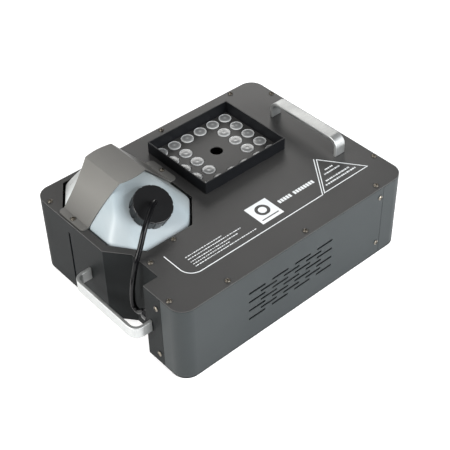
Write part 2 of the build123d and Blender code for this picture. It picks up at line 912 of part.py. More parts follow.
def bow_sketch(plane):
    """The side view of the bow: outer bend and inner bend share their centres."""
    with BuildSketch(plane) as side_view:
        with BuildLine():
            FilletPolyline(
                (-handle_length / 2, 0),
                (-handle_length / 2, handle_height),
                (handle_length / 2, handle_height),
                (handle_length / 2, 0),
                radius=handle_bend,
            )
            Line((handle_length / 2, 0), (handle_length / 2 - handle_thickness, 0))
            FilletPolyline(
                (handle_length / 2 - handle_thickness, 0),
                (handle_length / 2 - handle_thickness, handle_height - handle_thickness),
                (-handle_length / 2 + handle_thickness, handle_height - handle_thickness),
                (-handle_length / 2 + handle_thickness, 0),
                radius=handle_bend - handle_thickness,
            )
            Line((-handle_length / 2 + handle_thickness, 0), (-handle_length / 2, 0))
        make_face()
    return side_view.sketch


top_handle_plane = Plane(
    origin=(top_handle_x, top_handle_y, top_z), x_dir=(0, 1, 0), z_dir=(1, 0, 0)
)
front_handle_plane = Plane(
    origin=(front_x, front_handle_y, front_handle_z), x_dir=(0, 1, 0), z_dir=(0, 0, 1)
)
handle_screw_depth = 10.0

with BuildPart() as top_handle:
    extrude(bow_sketch(top_handle_plane), amount=handle_width / 2, both=True)
    fillet(top_handle.edges().filter_by(lambda e: e.length > 3 * handle_thickness), 1.2)
    drill_down(
        [(top_handle_x, top_handle_y - foot_reach), (top_handle_x, top_handle_y + foot_reach)],
        tapped_hole,
        top_z,
        top_z + handle_screw_depth,
    )
finish(top_handle, "top_handle")

with BuildPart() as front_handle:
    extrude(bow_sketch(front_handle_plane), amount=handle_width / 2, both=True)
    fillet(front_handle.edges().filter_by(lambda e: e.length > 3 * handle_thickness), 1.2)
    drill_through_end(
        [(front_handle_y - foot_reach, front_handle_z), (front_handle_y + foot_reach, front_handle_z)],
        tapped_hole,
        front_x - handle_screw_depth,
        front_x,
    )
finish(front_handle, "front_handle")

with BuildPart() as handle_screws:
    inner_seats = [
        facing((front_x + sheet, front_handle_y + side * foot_reach, front_handle_z), (1, 0, 0))
        for side in (-1, 1)
    ]
    inner_seats += [
        facing((top_handle_x, top_handle_y + side * foot_reach, cover_z), (0, 0, -1))
        for side in (-1, 1)
    ]
    with Locations(*[seat.location for seat in inner_seats]):
        add(case_screw)
finish(handle_screws, "handle_screws")

# ---------- gland in the notch wall, its locknut, and the hose from it to the cap ----------
gland_x = front_x + gland_from_front
gland_z = top_z - gland_below_top
gland_wall_y = right_y + notch_near
gland_hex = 19.0
hose_turn_in = 3.7
locknut_hex = 17.0
gland_hex_length = 7.0
gland_tail = 11.0
locknut_thickness = 4.0

with BuildPart() as hose_gland:
    with BuildSketch(across(gland_wall_y)):
        with Locations((gland_x, gland_z)):
            RegularPolygon(gland_hex / 2, 6, major_radius=False)
    extrude(amount=-gland_hex_length)
    with BuildSketch(across(gland_wall_y + gland_hex_length)):
        with Locations((gland_x, gland_z)):
            Circle(gland_radius)
    extrude(amount=gland_hex_length - gland_reach)
    fillet(hose_gland.faces().sort_by(Axis.Y)[-1].edges(), 2.5)
    with BuildSketch(across(gland_wall_y)):
        with Locations((gland_x, gland_z)):
            Circle(gland_thread)
    extrude(amount=gland_tail)
    drill_through_side(
        [(gland_x, gland_z)], hose_radius, gland_wall_y - gland_tail, gland_wall_y + gland_reach
    )
finish(hose_gland, "hose_gland")

with BuildPart() as gland_locknut:
    with BuildSketch(across(gland_wall_y - sheet)):
        with Locations((gland_x, gland_z)):
            RegularPolygon(locknut_hex / 2, 6, major_radius=False)
            Circle(gland_thread + 0.05, mode=Mode.SUBTRACT)
    extrude(amount=locknut_thickness)
finish(gland_locknut, "gland_locknut")

hose_route = [
    tuple(hose_start.origin),
    tuple(on_neck(hose_rise).origin),
    place(76.0, 146.0, -51.0),
    place(60.0, 136.0, -45.0),
    place(45.0, 127.0, -36.5),
    place(31.0, 119.5, -18.0),
    place(16.8, 114.0, -1.0),
    place(13.2, 118.0, 28.0),
    place(12.6, 122.5, 52.0),
    place(12.7, 124.8, 79.2),
    place(12.8, 118.9, 85.4),
    place(12.8, 110.7, 85.4),
    (gland_x, gland_wall_y + gland_reach + hose_turn_in, gland_z),
    (gland_x, gland_wall_y + gland_reach - hose_seat_depth, gland_z),
]

with BuildPart() as fluid_hose:
    bent_tube(hose_route, hose_radius)
finish(fluid_hose, "fluid_hose")
hose_bends = bend_radii(hose_route)
hose_length = fluid_hose.part.volume / (pi * hose_radius**2)
print("hose bend radii", [round(bend, 1) for bend in hose_bends], "length", round(hose_length, 1))

# ---------- lamp frame, lamps and their board ----------
with BuildPart() as led_frame:
    with BuildSketch(Plane.XY.offset(top_z)):
        with Locations((led_x, led_y)):
            Rectangle(led_frame_length, led_frame_width)
            Rectangle(
                led_frame_length - 2 * led_frame_wall,
                led_frame_width - 2 * led_frame_wall,
                mode=Mode.SUBTRACT,
            )
    extrude(amount=led_frame_height)
    with BuildSketch(Plane.XY.offset(top_z)):
        with Locations(*frame_tab_spots):
            Rectangle(frame_tab_length, led_frame_wall)
    extrude(amount=-frame_tab_depth)
finish(led_frame, "led_frame")

lens_foot_radius = 4.5
lens_cup_radius = 3.2
lens_cup_depth = 4.5

with BuildPart() as one_lens:
    with BuildSketch(Plane.XZ):
        with BuildLine():
            Polyline(
                (0, lens_proud),
                (0, lens_cup_depth - lens_height),
                (lens_cup_radius, lens_cup_depth - lens_height),
                (lens_cup_radius, -lens_height),
                (lens_foot_radius, -lens_height),
                (lens_radius, -sheet - lens_collar_height),
                (lens_radius + lens_collar_lip, -sheet - lens_collar_height),
                (lens_radius + lens_collar_lip, -sheet),
                (lens_radius, -sheet),
                (lens_radius, lens_edge),
            )
            RadiusArc(
                (lens_radius, lens_edge),
                (0, lens_proud),
                -dome_radius(lens_radius, lens_proud - lens_edge),
            )
        make_face()
    revolve(axis=Axis.Z)

with BuildPart() as led_lenses:
    with Locations(*[Location((x, y, top_z)) for x, y in led_spots()]):
        add(one_lens.part)
finish(led_lenses, "led_lenses")

board_margin = 3.0
board_thickness = 1.6
board_top = top_z - led_board_drop
board_hole = 20.0
emitter_side = 5.0
emitter_height = 1.2
emitter_dome = 1.9
spacer_radius = 3.0
spacer_spots = [(led_x + x, led_y + y) for x in (-20, 20) for y in (-32, 32)]

with BuildPart() as led_board:
    with BuildSketch(Plane.XY.offset(board_top - board_thickness)):
        with Locations((led_x, led_y)):
            Rectangle(
                led_frame_length - 2 * board_margin,
                led_frame_width - 2 * board_margin,
            )
            Circle(board_hole, mode=Mode.SUBTRACT)
    extrude(amount=board_thickness)
finish(led_board, "led_board")

with BuildPart() as led_emitters:
    with BuildSketch(Plane.XY.offset(board_top)):
        with Locations(*led_spots()):
            Rectangle(emitter_side, emitter_side)
    extrude(amount=emitter_height)
    with Locations(*[Location((x, y, board_top + emitter_height)) for x, y in led_spots()]):
        Sphere(emitter_dome, arc_size1=0)
finish(led_emitters, "led_emitters")

with BuildPart() as led_spacers:
    with BuildSketch(Plane.XY.offset(board_top)):
        with Locations(*spacer_spots):
            Circle(spacer_radius)
    extrude(amount=cover_z - board_top)
finish(led_spacers, "led_spacers")

# ---------- heater with its wrap, cover, brackets, rods and thermostat ----------
heater_x = front_x + heater_front
heater_end = heater_x + heater_length
heater_top = foot_height + heater_base + heater_height
heater_low = foot_height + heater_base
rod_radius = 4.0
rod_fit = 0.05
rod_tail = 18.0
rod_spots = [(led_y - 14, heater_low + 16), (led_y + 6, heater_low + 16)]
nozzle_base_radius = 8.0
nozzle_base_height = 12.0
nozzle_stem_radius = 5.0
nozzle_tip_radius = 7.0
nozzle_tip_height = 9.0
nozzle_bore = 1.2
nozzle_tip_z = top_z - nozzle_tip_drop
port_depth = 10.0
port_z = heater_low + 22

with BuildPart() as heater_block:
    with BuildSketch(Plane.XY.offset(heater_low)):
        with Locations(((heater_x + heater_end) / 2, led_y)):
            RectangleRounded(heater_length, heater_width, 4)
    extrude(amount=heater_height)
    drill_through_end(rod_spots, rod_radius + rod_fit, heater_x + 12, heater_end + 1)
    drill_through_end([(led_y, port_z)], tube_radius + 0.05, heater_x - 1, heater_x + port_depth)
finish(heater_block, "heater_block")

with BuildPart() as heating_rods:
    with BuildSketch(along(heater_x + 14)):
        with Locations(*rod_spots):
            Circle(rod_radius)
    extrude(amount=heater_length - 14 + rod_tail)
    with BuildSketch(along(heater_end + rod_tail)):
        with Locations(*rod_spots):
            Circle(1.5)
    extrude(amount=7)
finish(heating_rods, "heating_rods")


def sleeve(clear, wall, overhang, hole):
    """A square sleeve round the heater, open at both ends, with a hole over it for the nozzle."""
    with BuildSketch(along(heater_x - overhang)) as ring:
        with Locations((led_y, (heater_low + heater_top) / 2)):
            Rectangle(heater_width + 2 * (clear + wall), heater_height + 2 * (clear + wall))
            Rectangle(heater_width + 2 * clear, heater_height + 2 * clear, mode=Mode.SUBTRACT)
    extrude(ring.sketch, amount=heater_length + 2 * overhang)
    drill_down([(led_x, led_y)], hole, heater_top, heater_top + clear + wall + 1)


with BuildPart() as heater_wool:
    sleeve(0, heater_wrap, 0, nozzle_base_radius + 1)
finish(heater_wool, "heater_wool")

with BuildPart() as heater_cover:
    sleeve(heater_wrap, heater_cover_sheet, 6, nozzle_base_radius + 1)
finish(heater_cover, "heater_cover")

bracket_height = heater_low - heater_wrap - heater_cover_sheet - base_top
bracket_depth = 16.0

with BuildPart() as heater_brackets:
    with BuildSketch(across(led_y + heater_width / 2)):
        for x in (heater_x + 22, heater_end - 22):
            with Locations((x, base_top + bracket_height / 2)):
                Rectangle(bracket_depth, bracket_height)
                Rectangle(bracket_depth - 2 * sheet, bracket_height - 2 * sheet, mode=Mode.SUBTRACT)
    extrude(amount=heater_width)
finish(heater_brackets, "heater_brackets")

with BuildPart() as thermostat:
    with BuildSketch(along(heater_end)):
        with Locations((led_y + 20, heater_top - 14)):
            Circle(7.5)
    extrude(amount=9)
    with BuildSketch(along(heater_end + 9)):
        with Locations((led_y + 16, heater_top - 14), (led_y + 24, heater_top - 14)):
            Rectangle(0.8, 6)
    extrude(amount=8)
finish(thermostat, "thermostat")

with BuildPart() as nozzle:
    with BuildSketch(across(led_y)):
        with BuildLine():
            Polyline(
                (led_x + nozzle_bore, heater_top),
                (led_x + nozzle_base_radius, heater_top),
                (led_x + nozzle_base_radius, heater_top + nozzle_base_height),
                (led_x + nozzle_stem_radius, heater_top + nozzle_base_height + 2),
                (led_x + nozzle_stem_radius, nozzle_tip_z - nozzle_tip_height),
                (led_x + nozzle_tip_radius, nozzle_tip_z - nozzle_tip_height),
                (led_x + nozzle_tip_radius, nozzle_tip_z - 3),
                (led_x + nozzle_bore + 2, nozzle_tip_z),
                (led_x + nozzle_bore, nozzle_tip_z - 0.8),
                (led_x + nozzle_bore, heater_top),
            )
        make_face()
    revolve(axis=Axis((led_x, led_y, 0), (0, 0, 1)))
finish(nozzle, "nozzle")

# ---------- solenoid pump: body, plunger, return spring and its two tubes ----------
pump_x = front_x + pump_from_front
pump_y = right_y + pump_from_right
pump_top = pump_base + pump_barrel_length
coil_width = 44.0
coil_depth = 36.0
coil_low = pump_base + 14.0
coil_height = 46.0
plunger_low = pump_base + 22.0
plunger_length = 30.0
plunger_travel = 4.0
spring_wire = 0.6
spring_radius = 4.4
spring_pitch = 3.0
spring_low = plunger_low + plunger_length + 0.9
spring_turns_height = 14.0
port_height = 7.0

with BuildPart() as pump_body:
    slab(pump_x - 24, pump_x + 24, pump_y - 16, pump_y + 16, base_top, pump_base)
    with BuildSketch(Plane.XY.offset(pump_base)):
        with Locations((pump_x, pump_y)):
            Circle(pump_barrel_radius)
    extrude(amount=pump_barrel_length)
    slab(
        pump_x - coil_width / 2,
        pump_x + coil_width / 2,
        pump_y - coil_depth / 2,
        pump_y + coil_depth / 2,
        coil_low,
        coil_low + coil_height,
    )
    drill_down([(pump_x, pump_y)], pump_bore, plunger_low - 6, spring_low + spring_turns_height + 1)
    drill_down([(pump_x, pump_y)], tube_radius + 0.05, pump_top - port_height, pump_top)
    drill_down([(pump_x, pump_y)], 1.0, pump_base + port_height, pump_top - port_height)
    with BuildSketch(along(pump_x)):
        with Locations((pump_y, pump_base + port_height)):
            Circle(tube_radius + 0.05)
    extrude(amount=pump_barrel_radius, mode=Mode.SUBTRACT)
finish(pump_body, "pump_body")

with BuildPart() as pump_plunger:
    with BuildSketch(Plane.XY.offset(plunger_low)):
        with Locations((pump_x, pump_y)):
            Circle(pump_bore - pump_fit)
            Circle(1.5, mode=Mode.SUBTRACT)
    extrude(amount=plunger_length)
finish(pump_plunger, "pump_plunger")

with BuildPart() as pump_spring:
    with BuildLine(Plane((pump_x, pump_y, spring_low))) as coil:
        Helix(pitch=spring_pitch, height=spring_turns_height - 2 * spring_wire, radius=spring_radius)
    with BuildSketch(Plane(origin=coil.line @ 0, z_dir=coil.line % 0)):
        Circle(spring_wire)
    sweep(path=coil.line, is_frenet=True)
finish(pump_spring, "pump_spring")

suction_points = [
    (gland_x, gland_wall_y - gland_tail, gland_z),
    (gland_x, gland_wall_y - gland_tail - 20, gland_z + 4),
    (gland_x + 14, pump_y - 22, gland_z + 30),
    (gland_x + 48, pump_y - 14, pump_top + 20),
    (pump_x, pump_y, pump_top + 18),
    (pump_x, pump_y, pump_top),
]

with BuildPart() as suction_tube:
    bent_tube(suction_points, tube_radius)
finish(suction_tube, "suction_tube")

pressure_x = front_x + bay_back + 9.5
pressure_points = [
    (pump_x + pump_barrel_radius, pump_y, pump_base + port_height),
    (pump_x + 52, pump_y + 3, pump_base + port_height),
    (pressure_x, pump_y + 34, pump_base + port_height + 1),
    (pressure_x + 0.5, led_y - 45, port_z - 24),
    (pressure_x + 1, led_y, port_z),
    (heater_x, led_y, port_z),
]

with BuildPart() as pressure_tube:
    bent_tube(pressure_points, tube_radius)
finish(pressure_tube, "pressure_tube")

# ---------- cooling fan behind the right vents ----------
fan_x = front_x + vent_from_front
fan_z = top_z - vent_below_top
fan_y = right_y + fan_from_right
fan_axis_in = Plane(origin=(fan_x, fan_y, fan_z), x_dir=(1, 0, 0), z_dir=(0, 1, 0))
fan_back = 4.0
boss_radius = 14.0
rotor_depth = 16.0
blade_thickness = 1.4
blade_pitch = 38.0
fan_screw_spacing = 71.5

with BuildPart() as fan_frame:
    with BuildSketch(fan_axis_in):
        RectangleRounded(fan_size, fan_size, 4)
        Circle(fan_bore, mode=Mode.SUBTRACT)
        with GridLocations(fan_screw_spacing, fan_screw_spacing, 2, 2):
            Circle(clearance_hole, mode=Mode.SUBTRACT)
    extrude(amount=fan_depth)
    with BuildSketch(fan_axis_in.offset(fan_depth - fan_back)):
        Circle(boss_radius)
        with PolarLocations((fan_bore + boss_radius) / 2, 4):
            Rectangle(fan_bore - boss_radius + 4, 5)
    extrude(amount=fan_back)
    with BuildSketch(fan_axis_in.offset(fan_depth - fan_back - rotor_depth)):
        Circle(fan_pin)
    extrude(amount=rotor_depth)
finish(fan_frame, "fan_frame")

with BuildPart() as fan_rotor:
    rotor_plane = fan_axis_in.offset(fan_depth - fan_back - rotor_depth - 1)
    with BuildSketch(rotor_plane):
        Circle(fan_hub)
    extrude(amount=rotor_depth)
    with BuildSketch(fan_axis_in.offset(fan_depth - fan_back - rotor_depth - 0.2)):
        Circle(fan_pin + fan_fit)
    extrude(amount=rotor_depth, mode=Mode.SUBTRACT)
    blade_middle = rotor_plane.offset(rotor_depth / 2)
    blade_length = fan_bore - 1.2 - fan_hub + 3
    for turn in range(fan_blades):
        spoke = blade_middle * Location((0, 0, 0), (0, 0, 360 / fan_blades * turn))
        blade = spoke * Location((fan_hub - 3 + blade_length / 2, 0, 0), (blade_pitch, 0, 0))
        with Locations(blade):
            Box(blade_length, 20, blade_thickness)
finish(fan_rotor, "fan_rotor")

with BuildPart() as fan_bracket:
    bracket_back = fan_y + fan_depth
    slab(fan_x - 30, fan_x + 30, right_y + 14.5, bracket_back + 14, base_top, base_top + sheet)
    slab(fan_x - 30, fan_x + 30, bracket_back, bracket_back + sheet, base_top, fan_z - fan_bore)
finish(fan_bracket, "fan_bracket")

# ---------- power supply and control board ----------
supply_front = 285.0
supply_length = 88.0
supply_right = 22.0
supply_width = 70.0
supply_height = 38.0

with BuildPart() as power_supply:
    with BuildSketch(Plane.XY.offset(base_top)):
        with Locations(plan(supply_front + supply_length / 2, supply_right + supply_width / 2)):
            Rectangle(supply_length, supply_width)
    extrude(amount=supply_height)
    chamfer(power_supply.faces().sort_by(Axis.Z)[-1].edges(), 1)
    with BuildSketch(Plane.XY.offset(base_top + supply_height)):
        with Locations(plan(supply_front + supply_length / 2, supply_right + supply_width / 2)):
            with GridLocations(10, 0, 6, 1):
                SlotOverall(40, 3, rotation=90)
    extrude(amount=-2, mode=Mode.SUBTRACT)
finish(power_supply, "power_supply")

control_x = rear_inside - 15.0
control_low = base_top + 34.0
control_high = top_z - 16.0
key_switch = 6.2
key_reach = 4.6
board_spacers = [
    (right_y + y, z) for y in (185, 285) for z in (control_low + 6, control_high - 6)
]

with BuildPart() as control_board:
    slab(
        control_x - board_thickness,
        control_x,
        right_y + 180,
        right_y + 290,
        control_low,
        control_high,
    )
    with BuildSketch(along(control_x)):
        with Locations(*button_spots.values()):
            Rectangle(key_switch, key_switch)
    extrude(amount=key_reach)
    with BuildSketch(along(control_x)):
        with Locations(display_spot):
            Rectangle(display_width - 4, display_height - 4)
    extrude(amount=9)
    with BuildSketch(along(control_x - board_thickness)):
        with Locations((right_y + 200, control_low + 18), (right_y + 222, control_low + 18)):
            Circle(6)
        with Locations((right_y + 258, control_low + 22)):
            Rectangle(30, 18)
    extrude(amount=-14)
    with BuildSketch(along(control_x)):
        with Locations(*board_spacers):
            Circle(spacer_radius)
    extrude(amount=rear_inside - control_x)
finish(control_board, "control_board")

# ---------- controls and sockets on the rear face ----------
display_step = 1.2

with BuildPart() as display_window:
    with BuildSketch(along(back_x - 3.0)):
        with Locations(display_spot):
            Rectangle(display_width, display_height)
    extrude(amount=3.0 + display_step)
    fillet(display_window.faces().sort_by(Axis.X)[-1].edges(), 0.6)
finish(display_window, "display_window")

button_tail = control_x + key_reach + 1.0
for button_name, button_spot in button_spots.items():
    with BuildPart() as button:
        with BuildSketch(along(button_tail)):
            with Locations(button_spot):
                Circle(button_radius)
        extrude(amount=back_x + button_proud - button_tail)
        fillet(button.faces().sort_by(Axis.X)[-1].edges(), 0.8)
        with BuildSketch(along(rear_inside - 0.4)):
            with Locations(button_spot):
                Circle(button_collar)
        extrude(amount=-1.5)
    finish(button, button_name)

dmx_flange_thickness = 2.2
dmx_depth = 22.0
dmx_cavity_radius = 8.6
dmx_cavity_depth = 14.0
dmx_pin_radius = 1.2
dmx_pin_ring = 3.6
dmx_pin_gap = 5.0
dmx_shell_gap = 2.0
dmx_core_radius = 7.6
latch_width = 7.0
latch_height = 4.6
latch_rise = 11.6
latch_back = 1.6
latch_length = 2.4


def socket_shell(spot, body_radius):
    """A round socket body behind the panel with its flange in front of it."""
    with BuildSketch(along(back_x)) as flange:
        with Locations(spot):
            RectangleRounded(dmx_flange_width, dmx_flange_height, 3)
    extrude(flange.sketch, amount=dmx_flange_thickness)
    with BuildSketch(along(back_x - dmx_depth)) as body:
        with Locations(spot):
            Circle(body_radius)
    extrude(body.sketch, amount=dmx_depth)


with BuildPart() as dmx_input:
    socket_shell(dmx_in_spot, dmx_body_radius)
    with BuildSketch(along(back_x + dmx_flange_thickness)):
        with Locations(dmx_in_spot):
            Circle(dmx_cavity_radius)
    extrude(amount=-dmx_cavity_depth, mode=Mode.SUBTRACT)
    with BuildSketch(along(back_x + dmx_flange_thickness - dmx_cavity_depth)):
        with Locations(dmx_in_spot):
            with PolarLocations(dmx_pin_ring, 3, start_angle=-30):
                Circle(dmx_pin_radius)
    extrude(amount=dmx_cavity_depth - dmx_pin_gap)
finish(dmx_input, "dmx_input")

with BuildPart() as dmx_output:
    socket_shell(dmx_out_spot, dmx_body_radius)
    with BuildSketch(along(back_x + dmx_flange_thickness)):
        with Locations(dmx_out_spot):
            Circle(dmx_core_radius + dmx_shell_gap)
            Circle(dmx_core_radius, mode=Mode.SUBTRACT)
            with PolarLocations(dmx_pin_ring, 3, start_angle=-30):
                Circle(dmx_pin_radius + 0.1)
    extrude(amount=-dmx_cavity_depth, mode=Mode.SUBTRACT)
    with BuildSketch(along(back_x + dmx_flange_thickness)):
        with Locations((dmx_out_spot[0], dmx_out_spot[1] + latch_rise)):
            Rectangle(latch_width + 2 * loose_gap, latch_height + 2 * loose_gap)
    extrude(amount=-dmx_flange_thickness, mode=Mode.SUBTRACT)
finish(dmx_output, "dmx_output")

with BuildPart() as dmx_latch:
    with BuildSketch(along(back_x + latch_back)):
        with Locations((dmx_out_spot[0], dmx_out_spot[1] + latch_rise)):
            Rectangle(latch_width, latch_height)
    extrude(amount=latch_length)
    chamfer(dmx_latch.faces().sort_by(Axis.X)[-1].edges(), 0.5)
finish(dmx_latch, "dmx_latch")

inlet_flange_width = 48.0
inlet_flange_height = 24.0
inlet_flange_thickness = 2.2
inlet_depth = 20.0
inlet_cavity_width = 24.0
inlet_cavity_height = 16.2
inlet_cavity_depth = 16.0
inlet_blade_gap = 6.0

with BuildPart() as power_inlet:
    with BuildSketch(along(back_x)):
        with Locations(inlet_spot):
            RectangleRounded(inlet_flange_width, inlet_flange_height, 5)
    extrude(amount=inlet_flange_thickness)
    with BuildSketch(along(back_x - inlet_depth)):
        with Locations(inlet_spot):
            Rectangle(inlet_width, inlet_height)
    extrude(amount=inlet_depth)
    with BuildSketch(along(back_x + inlet_flange_thickness)):
        with Locations(inlet_spot):
            Rectangle(inlet_cavity_width, inlet_cavity_height)
            chamfer(vertices().group_by(Axis.Y)[-1], 4)
    extrude(amount=-inlet_cavity_depth, mode=Mode.SUBTRACT)
    with BuildSketch(along(back_x + inlet_flange_thickness - inlet_cavity_depth)):
        with Locations(inlet_spot):
            with Locations((-7, -2), (7, -2), (0, 2)):
                Rectangle(2, 4)
    extrude(amount=inlet_cavity_depth - inlet_blade_gap)
finish(power_inlet, "power_inlet")

switch_rim = 2.0
switch_depth = 18.0
rocker_width = 19.0
rocker_height = 13.0
rocker_rise = 4.2
rocker_dip = 5.0
rocker_swing = 24.0
rocker_pin_radius = 1.5

with BuildPart() as switch_housing:
    with BuildSketch(along(back_x)):
        with Locations(switch_spot):
            RectangleRounded(switch_width + 4, switch_height + 4, 2)
    extrude(amount=switch_rim)
    with BuildSketch(along(back_x - switch_depth)):
        with Locations(switch_spot):
            Rectangle(switch_width, switch_height)
    extrude(amount=switch_depth)
    with BuildSketch(along(back_x + switch_rim)):
        with Locations(switch_spot):
            Rectangle(rocker_width + 2 * loose_gap, rocker_height + 2 * loose_gap)
    extrude(amount=-switch_depth + 3, mode=Mode.SUBTRACT)
    with BuildSketch(across(switch_spot[0] + switch_width / 2 - 0.5)):
        with Locations((back_x - 1, switch_spot[1])):
            Circle(rocker_pin_radius)
    extrude(amount=switch_width - 1)
finish(switch_housing, "switch_housing")

with BuildPart() as switch_rocker:
    tilt = radians(rocker_swing / 2)
    rocker_plane = Plane(
        origin=(back_x - 1, switch_spot[0], switch_spot[1]),
        x_dir=(cos(tilt), 0, sin(tilt)),
        z_dir=(0, -1, 0),
    )
    with BuildSketch(rocker_plane):
        with BuildLine():
            Polyline(
                (-rocker_dip, -3.2),
                (0, 0.5 - rocker_height / 2),
                (rocker_rise, 0.9 - rocker_height / 2),
                (0.6 * rocker_rise, 0),
                (rocker_rise, rocker_height / 2 - 0.9),
                (0, rocker_height / 2 - 0.5),
                (-rocker_dip, 3.2),
                close=True,
            )
        make_face()
        Circle(rocker_pin_radius + 0.05, mode=Mode.SUBTRACT)
    extrude(amount=rocker_width / 2, both=True)
finish(switch_rocker, "switch_rocker")

fuse_flange_radius = 9.0
fuse_flange_thickness = 1.6
fuse_depth = 30.0
fuse_plug_radius = 3.6
fuse_cap_radius = 6.0

with BuildPart() as fuse_holder:
    with BuildSketch(along(back_x)):
        with Locations(fuse_spot):
            Circle(fuse_flange_radius)
    extrude(amount=fuse_flange_thickness)
    with BuildSketch(along(back_x - fuse_depth)):
        with Locations(fuse_spot):
            Circle(fuse_body_radius)
    extrude(amount=fuse_depth)
    with BuildSketch(along(back_x + fuse_flange_thickness)):
        with Locations(fuse_spot):
            Circle(fuse_plug_radius + loose_gap)
    extrude(amount=-fuse_depth + 2, mode=Mode.SUBTRACT)
finish(fuse_holder, "fuse_holder")

with BuildPart() as fuse_cap:
    with BuildSketch(along(back_x + fuse_flange_thickness + loose_gap)):
        with Locations(fuse_spot):
            Circle(fuse_cap_radius)
    extrude(amount=fuse_cap_reach - fuse_flange_thickness - loose_gap)
    with BuildSketch(along(back_x + fuse_flange_thickness + loose_gap)):
        with Locations(fuse_spot):
            Circle(fuse_plug_radius)
    extrude(amount=-fuse_depth + 6)
    with BuildSketch(along(back_x + fuse_cap_reach)):
        with Locations(fuse_spot):
            Rectangle(1.2, 8)
    extrude(amount=-1.5, mode=Mode.SUBTRACT)
    with BuildSketch(along(back_x + fuse_flange_thickness + 2)):
        with Locations(fuse_spot):
            with PolarLocations(fuse_cap_radius + 0.3, 16):
                Circle(0.7)
    extrude(amount=fuse_cap_reach, mode=Mode.SUBTRACT)
finish(fuse_cap, "fuse_cap")
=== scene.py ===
"""Looks of a stage fog machine: a folded steel case, a strapped fluid tank, a lamp ring and two bow handles."""

import json
import logging
import math
from dataclasses import dataclass, field
from enum import Enum
from typing import Optional, Sequence

import bmesh
import bpy
import numpy as np
from mathutils import Matrix, Vector


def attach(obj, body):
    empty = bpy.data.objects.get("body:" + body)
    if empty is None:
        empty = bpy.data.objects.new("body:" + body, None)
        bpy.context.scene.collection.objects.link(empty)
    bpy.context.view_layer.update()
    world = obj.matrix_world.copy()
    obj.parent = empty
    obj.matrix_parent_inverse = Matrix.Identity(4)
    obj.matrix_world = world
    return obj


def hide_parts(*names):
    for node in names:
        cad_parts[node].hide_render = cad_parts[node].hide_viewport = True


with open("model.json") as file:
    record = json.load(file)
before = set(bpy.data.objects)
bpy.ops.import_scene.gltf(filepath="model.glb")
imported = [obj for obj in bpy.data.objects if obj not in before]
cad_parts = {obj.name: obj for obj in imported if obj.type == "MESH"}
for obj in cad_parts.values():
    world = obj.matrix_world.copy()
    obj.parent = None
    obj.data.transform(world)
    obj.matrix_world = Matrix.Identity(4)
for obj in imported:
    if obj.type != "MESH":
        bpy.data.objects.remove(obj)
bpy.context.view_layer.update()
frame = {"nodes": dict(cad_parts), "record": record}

log = logging.getLogger("fog_machine")

CASE = "case"
FRONT_X = -0.2035
RIGHT_Y = -0.165
TOP_Z = 0.138
NECK_TILT = math.radians(31.8)
NECK_SEAT = np.array([-0.1167, 0.005002, 0.158064])
LAMP_CENTRE = (0.0551, 0.0610)
RNG_SEED = 7

Colour = tuple[float, float, float]
Point = tuple[float, float, float]
FlatPoint = tuple[float, float]
FlatLine = Sequence[FlatPoint]
Socket = bpy.types.NodeSocket
Shape = bpy.types.Object

PAINT_MIX = 0.45
SIDES_OF_A_STRIP = 4
PRINT_SINK = 0.0001


def spot(from_front: float, from_right: float, below_top: float = 0.0) -> Point:
    """A point of the case in metres.

    Args:
        from_front: Distance from the front wall along +X, in millimetres.
        from_right: Distance from the right wall along +Y, in millimetres.
        below_top: Distance under the top face, in millimetres.

    Returns:
        The point in the row frame.
    """
    return (FRONT_X + from_front / 1000, RIGHT_Y + from_right / 1000, TOP_Z - below_top / 1000)


# ---------------------------------------------------------------- finishes


class Grain(Enum):
    """How the fine relief of a finish is laid."""

    EVEN = (1.0, 1.0, 1.0)
    ALONG_X = (0.03, 1.0, 1.0)
    ACROSS_Y = (1.0, 22.0, 1.0)


